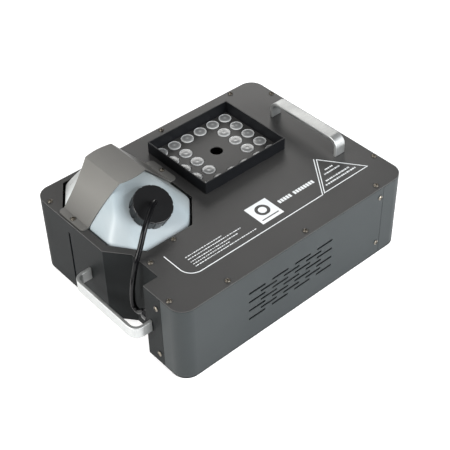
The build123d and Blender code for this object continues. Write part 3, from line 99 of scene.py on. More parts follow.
class Sockets:
    """A material under work: its node tree, its shader and the place on the object."""

    def __init__(self, name: str) -> None:
        """Starts a material.

        Args:
            name: The material's name.
        """
        self.material = bpy.data.materials.new(name)
        self.material.use_nodes = True
        self.tree = self.material.node_tree
        self.tree.nodes.clear()
        self.shader = self.add("ShaderNodeBsdfPrincipled")
        output = self.add("ShaderNodeOutputMaterial")
        self.join(self.shader.outputs["BSDF"], output.inputs["Surface"])
        self.place = self.add("ShaderNodeTexCoord").outputs["Object"]

    def add(self, kind: str, **settings: object) -> bpy.types.Node:
        """Adds a node and sets its plain properties."""
        node = self.tree.nodes.new(kind)
        for key, value in settings.items():
            setattr(node, key, value)
        return node

    def join(self, source: Socket, target: Socket) -> None:
        """Links one socket to another."""
        self.tree.links.new(source, target)

    def noise(self, scale: float, detail: float = 3.0, grain: Grain = Grain.EVEN, rough: float = 0.55) -> Socket:
        """A noise value from 0 to 1 over the object's own place.

        Args:
            scale: Lumps to the metre.
            detail: Octaves of finer lumps.
            grain: The stretch of the lumps.
            rough: How strong the finer lumps are.

        Returns:
            The value's socket.
        """
        place = self.place
        if grain is not Grain.EVEN:
            stretch = self.add("ShaderNodeMapping")
            stretch.inputs["Scale"].default_value = grain.value
            self.join(self.place, stretch.inputs["Vector"])
            place = stretch.outputs["Vector"]
        lumps = self.add("ShaderNodeTexNoise")
        lumps.inputs["Scale"].default_value = scale
        lumps.inputs["Detail"].default_value = detail
        lumps.inputs["Roughness"].default_value = rough
        self.join(place, lumps.inputs["Vector"])
        return lumps.outputs["Fac"]

    def between(
        self, value: Socket, low: float, high: float, start: float = 0.0, end: float = 1.0
    ) -> Socket:
        """Carries a value from start..end to low..high.

        Args:
            value: The value's socket.
            low: The result at start.
            high: The result at end.
            start: Where the range starts.
            end: Where the range ends.

        Returns:
            The new value's socket.
        """
        ruler = self.add("ShaderNodeMapRange")
        ruler.inputs["From Min"].default_value = start
        ruler.inputs["From Max"].default_value = end
        ruler.inputs["To Min"].default_value = low
        ruler.inputs["To Max"].default_value = high
        self.join(value, ruler.inputs["Value"])
        return ruler.outputs["Result"]

    def blend(self, value: Socket, low: Colour, high: Colour) -> Socket:
        """A colour between two colours.

        Args:
            value: 0 for the first colour, 1 for the second.
            low: The first colour.
            high: The second colour.

        Returns:
            The colour's socket.
        """
        mix = self.add("ShaderNodeMix", data_type="RGBA")
        self.join(value, mix.inputs["Factor"])
        mix.inputs["A"].default_value = (*low, 1.0)
        mix.inputs["B"].default_value = (*high, 1.0)
        return mix.outputs["Result"]

    def relief(self, height: Socket, depth: float, edge: float = 0.0) -> None:
        """Gives the shader a relief, over softened edges if asked.

        Args:
            height: The relief's value from 0 to 1.
            depth: Its real depth in metres.
            edge: The radius of softened edges in metres, or 0 for none.
        """
        bump = self.add("ShaderNodeBump")
        bump.inputs["Strength"].default_value = 1.0
        bump.inputs["Distance"].default_value = depth
        self.join(height, bump.inputs["Height"])
        if edge > 0:
            soft = self.add("ShaderNodeBevel", samples=4)
            soft.inputs["Radius"].default_value = edge
            self.join(soft.outputs["Normal"], bump.inputs["Normal"])
        self.join(bump.outputs["Normal"], self.shader.inputs["Normal"])

    def set(self, **values: object) -> None:
        """Sets the shader's own sockets; an underscore in a name stands for a space."""
        for key, value in values.items():
            self.shader.inputs[key.replace("_", " ")].default_value = value


@dataclass(frozen=True)
class PaintFinish:
    """Sprayed or powder-coated metal: a mottled colour, orange-peel lumps and fine specks."""

    slot: str
    dark: Colour
    light: Colour
    rough: float = 0.5
    peel: float = 900.0
    depth: float = 0.00004
    specks: float = 5200.0
    edge: float = 0.0005
    sheen: float = 0.4

    def make(self) -> bpy.types.Material:
        """Builds the material."""
        work = Sockets(self.slot)
        broad = work.noise(9.0, 4.0)
        fine = work.noise(self.specks, 1.0)
        both = work.add("ShaderNodeMath", operation="MULTIPLY_ADD")
        both.inputs[1].default_value = PAINT_MIX
        work.join(fine, both.inputs[0])
        work.join(work.between(broad, 0.1, 0.55, 0.3, 0.7), both.inputs[2])
        work.join(work.blend(both.outputs[0], self.dark, self.light), work.shader.inputs["Base Color"])
        peel = work.noise(self.peel, 2.0)
        work.join(work.between(peel, self.rough - 0.06, self.rough + 0.08), work.shader.inputs["Roughness"])
        work.relief(peel, self.depth, self.edge)
        work.set(Specular_IOR_Level=self.sheen)
        return work.material


@dataclass(frozen=True)
class StrapPaintAndPaintedLight:
    """The folded strap, in three colours laid by place alone, all painted light and shade.

    The flanges have the first colour, a painted shade. Above them the colour runs along X from a pale painted highlight
    in front to a dim painted shade behind. The three are picked for the look of the whole: they are painted light and
    shade on one paint, and stand for neither wear nor a second paint.
    """

    slot: str
    # In this order: painted shade on the flanges, painted shade behind, painted highlight in front.
    foot: Colour
    dim: Colour
    pale: Colour
    rough: float = 0.42
    sheen: float = 0.35

    def make(self) -> bpy.types.Material:
        """Builds the material."""
        work = Sockets(self.slot)
        place = work.add("ShaderNodeSeparateXYZ")
        work.join(work.place, place.inputs[0])
        # Painted light and shade: a painted highlight in front fades along X to a painted shade behind, over a painted
        # shade on the flanges.
        patch = work.add("ShaderNodeMath", operation="MULTIPLY_ADD")
        patch.inputs[1].default_value = 0.03
        work.join(work.noise(14.0, 3.0), patch.inputs[0])
        work.join(place.outputs["X"], patch.inputs[2])
        fall = work.between(patch.outputs[0], 1.0, 0.0, FRONT_X + 0.060, FRONT_X + 0.150)
        upper = work.blend(fall, self.dim, self.pale)
        height = work.between(place.outputs["Z"], 0.0, 1.0, TOP_Z + 0.002, TOP_Z + 0.032)
        mix = work.add("ShaderNodeMix", data_type="RGBA")
        work.join(height, mix.inputs["Factor"])
        mix.inputs["A"].default_value = (*self.foot, 1.0)
        work.join(upper, mix.inputs["B"])
        work.join(mix.outputs["Result"], work.shader.inputs["Base Color"])
        peel = work.noise(900.0, 2.0)
        work.join(work.between(peel, self.rough - 0.06, self.rough + 0.08), work.shader.inputs["Roughness"])
        work.relief(peel, 0.00004, 0.0005)
        work.set(Specular_IOR_Level=self.sheen)
        return work.material


@dataclass(frozen=True)
class MetalFinish:
    """Bare metal with drawn or brushed lines."""

    slot: str
    dark: Colour
    light: Colour
    rough: float = 0.3
    grain: Grain = Grain.EVEN
    lines: float = 1500.0
    depth: float = 0.00002
    edge: float = 0.0003

    def make(self) -> bpy.types.Material:
        """Builds the material."""
        work = Sockets(self.slot)
        lines = work.noise(self.lines, 3.0, self.grain)
        cloud = work.noise(35.0, 3.0)
        colour = work.blend(work.between(lines, 0.0, 1.0, 0.3, 0.7), self.dark, self.light)
        work.join(colour, work.shader.inputs["Base Color"])
        work.join(work.between(cloud, self.rough - 0.07, self.rough + 0.09, 0.3, 0.7), work.shader.inputs["Roughness"])
        work.relief(lines, self.depth, self.edge)
        work.set(Metallic=1.0)
        return work.material


@dataclass(frozen=True)
class PlasticFinish:
    """Moulded plastic, rubber, board or cloth: a slight colour drift and a moulded texture."""

    slot: str
    dark: Colour
    light: Colour
    rough: float = 0.45
    texture: float = 1800.0
    depth: float = 0.00003
    edge: float = 0.0004
    shine: float = 0.5

    def make(self) -> bpy.types.Material:
        """Builds the material."""
        work = Sockets(self.slot)
        drift = work.noise(25.0, 3.0)
        texture = work.noise(self.texture, 2.0)
        colour = work.blend(work.between(drift, 0.0, 1.0, 0.3, 0.7), self.dark, self.light)
        work.join(colour, work.shader.inputs["Base Color"])
        rough = work.between(texture, self.rough - 0.05, self.rough + 0.07, 0.2, 0.8)
        work.join(rough, work.shader.inputs["Roughness"])
        work.relief(texture, self.depth, self.edge)
        work.set(Specular_IOR_Level=self.shine)
        return work.material


@dataclass(frozen=True)
class MilkPlasticWithPaintedLight:
    """Blow-moulded milky plastic that lets light a little way in.

    Two masks change its colour, a painted shade and a painted light. It gets darker with distance from the front right
    corner, as X + Y grows, a painted shade, and paler where the surface faces +Y, a painted light. Both are picked for
    the look of the whole, and stand for no real change of plastic.
    """

    slot: str
    cool: Colour
    warm: Colour
    # Painted shade towards the back, and painted light where the surface faces +Y.
    painted_shade: Colour = (0.14, 0.14, 0.13)
    painted_light: Colour = (0.80, 0.84, 0.85)
    rough: float = 0.32
    depth_in: float = 0.006
    edge: float = 0.0035

    def make(self) -> bpy.types.Material:
        """Builds the material."""
        work = Sockets(self.slot)
        cloud = work.noise(16.0, 2.0)
        facing = work.add("ShaderNodeSeparateXYZ")
        work.join(work.add("ShaderNodeNewGeometry").outputs["Normal"], facing.inputs[0])
        place = work.add("ShaderNodeSeparateXYZ")
        work.join(work.place, place.inputs[0])
        across = work.add("ShaderNodeMath", operation="ADD")
        work.join(place.outputs["X"], across.inputs[0])
        work.join(place.outputs["Y"], across.inputs[1])
        # Painted shade: darker as X + Y grows.
        shade = work.add("ShaderNodeMix", data_type="RGBA")
        work.join(work.between(across.outputs[0], 0.0, 0.75, -0.090, -0.020), shade.inputs["Factor"])
        # Painted light: paler where the surface faces +Y.
        thin = work.add("ShaderNodeMix", data_type="RGBA")
        work.join(work.between(facing.outputs["Y"], 0.0, 1.0, 0.05, 0.40), thin.inputs["Factor"])
        work.join(work.blend(work.between(cloud, 0.0, 1.0, 0.3, 0.7), self.cool, self.warm), thin.inputs["A"])
        thin.inputs["B"].default_value = (*self.painted_light, 1.0)
        work.join(thin.outputs["Result"], shade.inputs["A"])
        shade.inputs["B"].default_value = (*self.painted_shade, 1.0)
        work.join(shade.outputs["Result"], work.shader.inputs["Base Color"])
        ripple = work.noise(90.0, 2.0)
        work.join(work.between(ripple, self.rough - 0.05, self.rough + 0.06, 0.3, 0.7), work.shader.inputs["Roughness"])
        work.relief(ripple, 0.0002, self.edge)
        work.set(Subsurface_Weight=0.35, Subsurface_Scale=self.depth_in)
        work.set(Subsurface_Radius=(1.0, 0.95, 0.9), Specular_IOR_Level=0.4)
        return work.material


@dataclass(frozen=True)
class ClearFinish:
    """Clear moulded plastic with fine ripples inside."""

    slot: str
    tint: Colour = (0.96, 0.98, 1.0)
    rough: float = 0.05

    def make(self) -> bpy.types.Material:
        """Builds the material."""
        work = Sockets(self.slot)
        ripple = work.noise(420.0, 1.0)
        deep = tuple(0.9 * part for part in self.tint)
        work.join(work.blend(ripple, deep, self.tint), work.shader.inputs["Base Color"])
        work.join(work.between(ripple, self.rough * 0.6, self.rough * 1.6, 0.3, 0.7), work.shader.inputs["Roughness"])
        work.relief(ripple, 0.00006)
        work.set(Transmission_Weight=0.9, IOR=1.49)
        return work.material


@dataclass(frozen=True)
class LensWithPaintedReflection:
    """A clear lens over a mirror cup: rings of light and grey about each lamp's axis, a painted reflection with a
    painted highlight at the rim, under a hard gloss.
    """

    slot: str
    # Grey by share of the radius: painted reflection of the mirror cup, brightening to a painted highlight at the rim.
    painted_reflection_stops: tuple[FlatPoint, ...] = (
        (0.0, 0.34), (0.22, 0.22), (0.50, 0.16), (0.80, 0.24), (0.90, 0.48), (1.0, 0.60)
    )
    rough: float = 0.11
    clear: float = 0.1

    def make(self) -> bpy.types.Material:
        """Builds the material."""
        work = Sockets(self.slot)
        share = work.add("ShaderNodeAttribute", attribute_name="share").outputs["Fac"]
        streak = work.noise(700.0, 2.0)
        shifted = work.add("ShaderNodeMath", operation="MULTIPLY_ADD")
        shifted.inputs[1].default_value = 0.14
        work.join(streak, shifted.inputs[0])
        work.join(work.between(share, -0.07, 0.93), shifted.inputs[2])
        ramp = work.add("ShaderNodeValToRGB")
        for _ in self.painted_reflection_stops[2:]:
            ramp.color_ramp.elements.new(0.5)
        for element, (place, grey) in zip(ramp.color_ramp.elements, self.painted_reflection_stops):
            element.position = place
            element.color = (grey * 0.98, grey, grey, 1.0)
        work.join(shifted.outputs[0], ramp.inputs["Fac"])
        work.join(ramp.outputs["Color"], work.shader.inputs["Base Color"])
        work.join(work.between(streak, self.rough * 0.5, self.rough * 1.8, 0.3, 0.7), work.shader.inputs["Roughness"])
        work.relief(streak, 0.00004)
        work.set(Transmission_Weight=self.clear, IOR=1.49, Coat_Weight=0.3, Coat_Roughness=0.12)
        return work.material


FINISHES = (
    # The lenses, with painted reflection and a painted highlight at the rim.
    LensWithPaintedReflection("lens_dome"),
    MetalFinish("burnt_brass", (0.004, 0.0036, 0.003), (0.010, 0.009, 0.008), rough=0.7, lines=700.0),
    PaintFinish("case_paint", (0.022, 0.0217, 0.0213), (0.034, 0.0333, 0.0326), rough=0.43, sheen=0.45),
    # A darker copy of the side paint for the front panel: painted shade on the front wall, which has the same paint as
    # the sides.
    PaintFinish("front_painted_shade", (0.008, 0.0088, 0.0092), (0.014, 0.0155, 0.016), rough=0.45, sheen=0.05),
    PaintFinish("side_paint", (0.025, 0.029, 0.030), (0.038, 0.043, 0.044), rough=0.45, sheen=0.12),
    # The strap's one paint with painted shade on the flanges, painted shade behind and a painted highlight in front.
    StrapPaintAndPaintedLight("strap_paint", (0.105, 0.103, 0.097), (0.052, 0.050, 0.047), (0.170, 0.167, 0.156)),
    PaintFinish(
        "black_paint", (0.003, 0.0034, 0.0042), (0.0055, 0.006, 0.0075),
        rough=0.4, depth=0.00003, edge=0.0003, sheen=0.25,
    ),
    PaintFinish("base_steel", (0.004, 0.0042, 0.0045), (0.008, 0.0084, 0.009), rough=0.5, sheen=0.1),
    MetalFinish(
        "handle_aluminium", (0.44, 0.45, 0.45), (0.58, 0.59, 0.58), rough=0.50, grain=Grain.ACROSS_Y, lines=110.0
    ),
    MetalFinish("screw_steel", (0.15, 0.135, 0.11), (0.30, 0.27, 0.23), rough=0.34, lines=2400.0),
    MetalFinish("zinc_sheet", (0.42, 0.43, 0.44), (0.62, 0.63, 0.64), rough=0.42, lines=160.0),
    # The tank's plastic, with painted shade towards the back and painted light on the facets facing +Y.
    MilkPlasticWithPaintedLight("tank_plastic", (0.33, 0.385, 0.41), (0.39, 0.432, 0.45)),
    PlasticFinish("cap_plastic", (0.0012, 0.0012, 0.0015), (0.003, 0.003, 0.0034), rough=0.34, shine=0.42),
    PlasticFinish("black_gloss", (0.007, 0.007, 0.008), (0.012, 0.012, 0.013), rough=0.18, depth=0.000008),
    PlasticFinish(
        "hose_rubber", (0.0022, 0.0022, 0.0026), (0.004, 0.004, 0.0046), rough=0.2, depth=0.00001, shine=0.15
    ),
    PlasticFinish("foot_rubber", (0.012, 0.012, 0.012), (0.022, 0.022, 0.022), rough=0.75, texture=900.0),
    ClearFinish("clear_lens"),
    PlasticFinish("led_chip", (0.80, 0.72, 0.35), (0.90, 0.84, 0.5), rough=0.2),
    PlasticFinish("board_green", (0.01, 0.09, 0.035), (0.02, 0.14, 0.05), rough=0.35),
    PlasticFinish("board_black", (0.004, 0.004, 0.0045), (0.007, 0.007, 0.0075), rough=0.5, shine=0.2),
    PlasticFinish("board_white", (0.74, 0.74, 0.71), (0.84, 0.84, 0.81), rough=0.4),
    MetalFinish("brass", (0.62, 0.45, 0.18), (0.80, 0.62, 0.30), rough=0.3, grain=Grain.ALONG_X, lines=900.0),
    MetalFinish("heater_cast", (0.40, 0.40, 0.40), (0.56, 0.56, 0.56), rough=0.55, lines=500.0, depth=0.0001),
    PlasticFinish("wool", (0.62, 0.56, 0.42), (0.80, 0.76, 0.64), rough=0.9, texture=500.0, depth=0.0006),
    PlasticFinish("coil_blue", (0.01, 0.04, 0.16), (0.02, 0.07, 0.24), rough=0.35),
    PlasticFinish("tube_clear", (0.60, 0.60, 0.56), (0.72, 0.72, 0.68), rough=0.3),
    MetalFinish("copper", (0.70, 0.33, 0.18), (0.86, 0.48, 0.30), rough=0.32, lines=700.0),
    MetalFinish("spring_steel", (0.46, 0.46, 0.46), (0.62, 0.62, 0.62), rough=0.25, lines=1800.0),
    PlasticFinish("fan_plastic", (0.009, 0.009, 0.01), (0.016, 0.016, 0.018), rough=0.5),
    PlasticFinish("window_dark", (0.004, 0.006, 0.008), (0.007, 0.009, 0.012), rough=0.08, depth=0.000003),
    PlasticFinish("button_plastic", (0.012, 0.012, 0.014), (0.022, 0.022, 0.025), rough=0.45),
    PlasticFinish("socket_black", (0.008, 0.008, 0.009), (0.016, 0.016, 0.018), rough=0.38),
    PlasticFinish("rocker_red", (0.22, 0.008, 0.006), (0.34, 0.015, 0.01), rough=0.2, depth=0.00001),
    PlasticFinish("white_print", (0.62, 0.64, 0.65), (0.70, 0.72, 0.73), rough=0.45, edge=0.0),
    MetalFinish("mirror_cup", (0.80, 0.80, 0.80), (0.92, 0.92, 0.92), rough=0.22, lines=600.0, edge=0.0),
)


# The front panel takes the darker copy of its paint, a painted shade; the LED board takes black.
NODE_FINISH = {"front_panel": "front_painted_shade", "led_board": "board_black"}


class Paintbox:
    """Every finish of the machine, made once and handed out by slot name."""

    def __init__(self, finishes: Sequence[object]) -> None:
        """Makes the materials.

        Args:
            finishes: The finish descriptions, each with a slot and a make method.
        """
        self.materials = {finish.slot: finish.make() for finish in finishes}

    def dress(self, piece: bpy.types.Object, slot: str) -> None:
        """Puts one finish on the whole of a piece.

        Args:
            piece: The object to paint.
            slot: The finish's slot name.
        """
        piece.data.materials.clear()
        piece.data.materials.append(self.materials[slot])

    def dress_frame(self) -> None:
        """Paints every CAD node with the finish of its own slot, or with the one NODE_FINISH gives it; the front
        panel's is a painted shade.
        """
        for part in frame["record"]["subparts"]:
            node = frame["nodes"][part["node"]]
            material = self.materials[NODE_FINISH.get(part["node"], part["material_slot"])]
            for place in node.material_slots:
                place.material = material
            if not node.material_slots:
                node.data.materials.append(material)


# ---------------------------------------------------------------- surfaces


def grid_faces(rows: int, columns: int, wrap_rows: bool, wrap_columns: bool) -> np.ndarray:
    """The four-sided faces of a grid of points, as one array.

    Args:
        rows: Points in the first direction.
        columns: Points in the second direction.
        wrap_rows: Whether the last row meets the first.
        wrap_columns: Whether the last column meets the first.

    Returns:
        An array of faces, four point numbers each.
    """
    row = np.arange(rows if wrap_rows else rows - 1)[:, None]
    column = np.arange(columns if wrap_columns else columns - 1)[None, :]
    next_row = (row + 1) % rows
    next_column = (column + 1) % columns
    corners = (
        row * columns + column,
        next_row * columns + column,
        next_row * columns + next_column,
        row * columns + next_column,
    )
    return np.stack([np.broadcast_to(corner, (row.size, column.size)) for corner in corners], axis=-1).reshape(-1, 4)


def make_piece(
    name: str, points: np.ndarray, faces: np.ndarray, smooth: bool = True, close: float = 1e-7
) -> Shape:
    """Makes a mesh object from points and faces, merges doubles and turns its faces outwards.

    Args:
        name: The piece's name.
        points: The points, three numbers each, in metres.
        faces: Arrays of point numbers, all of one length.
        smooth: Whether the faces are shaded smooth.
        close: Points nearer than this are merged.

    Returns:
        The new object, at the origin.
    """
    mesh = bpy.data.meshes.new(name)
    mesh.from_pydata(points.reshape(-1, 3).tolist(), [], faces.tolist())
    piece = bpy.data.objects.new(name, mesh)
    bpy.context.scene.collection.objects.link(piece)
    work = bmesh.new()
    work.from_mesh(mesh)
    bmesh.ops.remove_doubles(work, verts=work.verts, dist=close)
    bmesh.ops.recalc_face_normals(work, faces=work.faces)
    work.to_mesh(mesh)
    work.free()
    mesh.polygons.foreach_set("use_smooth", np.full(len(mesh.polygons), smooth))
    return piece


def join_pieces(name: str, pieces: Sequence[bpy.types.Object]) -> Shape:
    """Joins mesh objects that stand at the origin into one.

    Args:
        name: The new piece's name.
        pieces: The objects, which are removed.

    Returns:
        The joined object.
    """
    work = bmesh.new()
    for piece in pieces:
        work.from_mesh(piece.data)
    mesh = bpy.data.meshes.new(name)
    work.to_mesh(mesh)
    work.free()
    for piece in pieces:
        bpy.data.objects.remove(piece)
    whole = bpy.data.objects.new(name, mesh)
    bpy.context.scene.collection.objects.link(whole)
    return whole


def ribbon(
    name: str, line: FlatLine, width: float, low: float, high: float, closed: bool = False
) -> Shape:
    """A flat strip with mitred corners: each point of the line is moved to both sides along the corner's bisector.

    Args:
        name: The piece's name.
        line: The strip's middle line in X and Y, in metres.
        width: The strip's width.
        low: The underside's height.
        high: The upper face's height.
        closed: Whether the last point joins the first.

    Returns:
        The strip.
    """
    middle = np.array(line, dtype=float)
    ahead = np.roll(middle, -1, axis=0) - middle
    if not closed:
        ahead[-1] = ahead[-2]
    ahead /= np.linalg.norm(ahead, axis=1)[:, None]
    behind = np.roll(ahead, 1, axis=0)
    if not closed:
        behind[0] = ahead[0]
    side_a = np.stack([-ahead[:, 1], ahead[:, 0]], axis=1)
    side_b = np.stack([-behind[:, 1], behind[:, 0]], axis=1)
    out = side_a + side_b
    out /= np.sum(out * side_a, axis=1)[:, None]
    left = middle + out * width / 2
    right = middle - out * width / 2
    edges = ((left, low), (left, high), (right, high), (right, low))
    ring = [np.column_stack([edge, np.full(len(edge), z)]) for edge, z in edges]
    points = np.stack(ring, axis=1)
    faces = grid_faces(len(middle), SIDES_OF_A_STRIP, closed, True)
    piece = make_piece(name, points, faces, smooth=False)
    if not closed:
        work = bmesh.new()
        work.from_mesh(piece.data)
        bmesh.ops.holes_fill(work, edges=work.edges, sides=SIDES_OF_A_STRIP)
        bmesh.ops.recalc_face_normals(work, faces=work.faces)
        work.to_mesh(piece.data)
        work.free()
    return piece


def turned(
    name: str,
    profile: np.ndarray,
    centre: Sequence[float],
    axis: Sequence[float],
    steps: int,
    wobble: Optional[np.ndarray] = None,
) -> Shape:
    """A turned piece: a profile of radius and height carried round an axis.

    Args:
        name: The piece's name.
        profile: Rows of radius and height, in metres.
        centre: The axis's foot.
        axis: The axis's direction.
        steps: Steps round the axis.
        wobble: How much the radius grows, for each profile row and each step, or None.

    Returns:
        The turned piece, closed if its profile starts and ends on the axis.
    """
    up = np.array(axis, dtype=float) / np.linalg.norm(axis)
    across = np.array([1.0, 0.0, 0.0]) if abs(up[0]) < 0.9 else np.array([0.0, 1.0, 0.0])
    across = across - up * np.dot(across, up)
    across /= np.linalg.norm(across)
    third = np.cross(up, across)
    angle = np.arange(steps) / steps * 2 * np.pi
    radius = profile[:, 0][:, None] + (0 if wobble is None else wobble)
    radius = np.broadcast_to(radius, (len(profile), steps))
    points = (
        np.array(centre, dtype=float)
        + radius[..., None] * (np.cos(angle)[None, :, None] * across + np.sin(angle)[None, :, None] * third)
        + profile[:, 1][:, None, None] * up
    )
    return make_piece(name, points, grid_faces(len(profile), steps, False, True))


# ---------------------------------------------------------------- sub-assemblies


@dataclass
class FluidHose:
    """The black hose from the tank cap down the notch to the gland."""

    radius: float = 0.0039
    length: float = 0.2437
    route: list[Point] = field(default_factory=list)

    def __post_init__(self) -> None:
        """Fills in the route, from inside the neck to the gland's mouth."""
        up = np.array([0.0, -math.sin(NECK_TILT), math.cos(NECK_TILT)])
        start = tuple(NECK_SEAT + up * 0.0074)
        self.route = [
            start,
            tuple(NECK_SEAT + up * 0.0319),
            spot(76.0, 146.0, -51.0),
            spot(60.0, 136.0, -45.0),
            spot(45.0, 127.0, -36.5),
            spot(31.0, 119.5, -18.0),
            spot(16.8, 114.0, -1.0),
            spot(13.2, 118.0, 28.0),
            spot(12.6, 122.5, 52.0),
            spot(12.7, 124.8, 79.2),
            spot(12.8, 118.9, 85.4),
            spot(12.8, 110.7, 85.4),
            spot(12.8, 98.7, 73.0),
            spot(12.8, 90.5, 73.0),
        ]

    def build(self, paint: Paintbox) -> None:
        curve = bpy.data.curves.new("hose", "CURVE")
        curve.dimensions = "3D"
        curve.bevel_depth = self.radius
        curve.bevel_resolution = 8
        curve.resolution_u = 24
        curve.use_fill_caps = True
        line = curve.splines.new("NURBS")
        line.points.add(len(self.route) - 1)
        for point, place in zip(line.points, self.route):
            point.co = (*place, 1.0)
        line.order_u = 3
        line.use_endpoint_u = True
        hose = bpy.data.objects.new("hose", curve)
        bpy.context.scene.collection.objects.link(hose)
        paint.dress(hose, "hose_rubber")
        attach(hose, CASE)
        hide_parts("fluid_hose")


@dataclass
class CoverPrint:
    """The white lines and plain marks printed on the top cover."""

    line: float = 0.00135
    proud: float = 0.00012
    unit: float = 1.1
    dash_long: tuple[float, float] = (1.0, 3.4)
    dash_gap: tuple[float, float] = (0.6, 1.5)

    def at(self, points: FlatLine) -> list[FlatPoint]:
        """Places print points on the cover, each scaled and moved from the front right corner."""
        return [spot(x * self.unit, y * self.unit)[:2] for x, y in points]

    def strip(
        self, name: str, points: FlatLine, width: Optional[float] = None, closed: bool = False
    ) -> Shape:
        """One printed line of the print, lying on the cover."""
        return ribbon(name, self.at(points), width or self.line, TOP_Z - PRINT_SINK, TOP_Z + self.proud, closed)

    def dashes(
        self, name: str, start: FlatPoint, end: float, height: float, generator: np.random.Generator
    ) -> list[Shape]:
        """A row of plain dashes in place of small writing.

        Args:
            name: The pieces' first name.
            start: Where the row starts.
            end: Where it ends along the cover.
            height: The dashes' height.
            generator: The source of the uneven lengths.

        Returns:
            The dashes.
        """
        pieces = []
        x = start[0]
        while x < end - 1.0:
            stop = min(x + float(generator.uniform(*self.dash_long)), end)
            pieces.append(self.strip(f"{name}_{len(pieces)}", [(x, start[1]), (stop, start[1])], height))
            x = stop + float(generator.uniform(*self.dash_gap))
        return pieces

    def build(self, paint: Paintbox) -> None:
        """Builds the stripe, the square, the rows and the triangle as one piece each."""
        bend = np.linspace(0, np.pi / 2, 13)
        corner = np.column_stack([68.5 - 19.0 * np.cos(bend), 60.5 - 18.5 * np.sin(bend)])
        stripe = [(49.5, 91.4), *map(tuple, corner.tolist()), (274.5, 42.0), (318.6, 102.4)]
        pieces = [self.strip("stripe", stripe)]
        pieces.append(self.strip("triangle", [(320.8, 99.0), (360.6, 43.1), (279.2, 43.1)], closed=True))
        pieces += self.mark()
        generator = np.random.default_rng(RNG_SEED)
        for row, (y, end) in enumerate(((72.0, 125.6), (67.0, 153.2), (61.6, 145.7), (57.0, 127.4), (52.3, 168.4))):
            pieces += self.dashes(f"row_{row}", (67.5, y), end, 0.0014, generator)
        for start in (*np.arange(222.5, 243.0, 4.6), *np.arange(249.5, 284.0, 4.6)):
            pieces.append(self.strip(f"bar_{start:.0f}", [(start, 70.0), (start + 3.4, 70.0)], 0.0066))
        notes = ((76.0, 313.5, 327.5), (69.5, 306.0, 334.0), (58.6, 297.5, 341.0), (52.5, 291.5, 347.0))
        for row, (y, start, end) in enumerate(notes):
            pieces += self.dashes(f"note_{row}", (start, y), end, 0.0026, generator)
        whole = join_pieces("cover_print", pieces)
        paint.dress(whole, "white_print")
        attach(whole, CASE)

    def mark(self) -> list[Shape]:
        """A white square with a plain dark ring and bar left open in it."""
        low, high, near, far = 178.8, 215.0, 52.0, 88.5
        middle_x, middle_y = (low + high) / 2, (near + far) / 2 + 3.0
        square_line = [(low + 2, near + 2), (high - 2, near + 2), (high - 2, far - 2), (low + 2, far - 2)]
        outer = self.strip("mark_edge", square_line, 0.0044, True)
        angle = np.arange(48) / 48 * 2 * np.pi
        ring = np.column_stack([middle_x + 10.3 * np.cos(angle), middle_y + 10.3 * np.sin(angle)])
        square = np.maximum(np.abs(np.cos(angle)), np.abs(np.sin(angle)))
        edge = np.column_stack([middle_x + 14.2 * np.cos(angle) / square, middle_y + 14.2 * np.sin(angle) / square])
        edge[:, 0] = np.clip(edge[:, 0], low + 3.9, high - 3.9)
        edge[:, 1] = np.clip(edge[:, 1], near + 11.5, far - 3.9)
        dot = np.column_stack([middle_x + 5.8 * np.cos(angle), middle_y + 5.8 * np.sin(angle)])
        field_piece = self.between("mark_field", ring, edge)
        core = self.between("mark_core", np.tile([[middle_x, middle_y]], (48, 1)), dot)
        foot = self.strip("mark_foot", [(low + 3.9, near + 9.2), (high - 3.9, near + 9.2)], 0.0052)
        base = self.strip("mark_base", [(low + 3.9, near + 4.4), (high - 3.9, near + 4.4)], 0.0011)
        return [outer, field_piece, core, foot, base]

    def between(self, name: str, inner: np.ndarray, outer: np.ndarray) -> Shape:
        """A flat ring between two closed outlines of the same number of points.

        Args:
            name: The piece's name.
            inner: The inner outline in print units.
            outer: The outer outline in print units.

        Returns:
            The ring, a closed thin body.
        """
        outlines = [np.array(self.at(line.tolist())) for line in (inner, outer, outer, inner)]
        heights = (TOP_Z + self.proud, TOP_Z + self.proud, TOP_Z - 0.0001, TOP_Z - 0.0001)
        rings = [np.column_stack([line, np.full(len(line), z)]) for line, z in zip(outlines, heights)]
        return make_piece(name, np.stack(rings, axis=1), grid_faces(len(inner), 4, True, True), smooth=False)


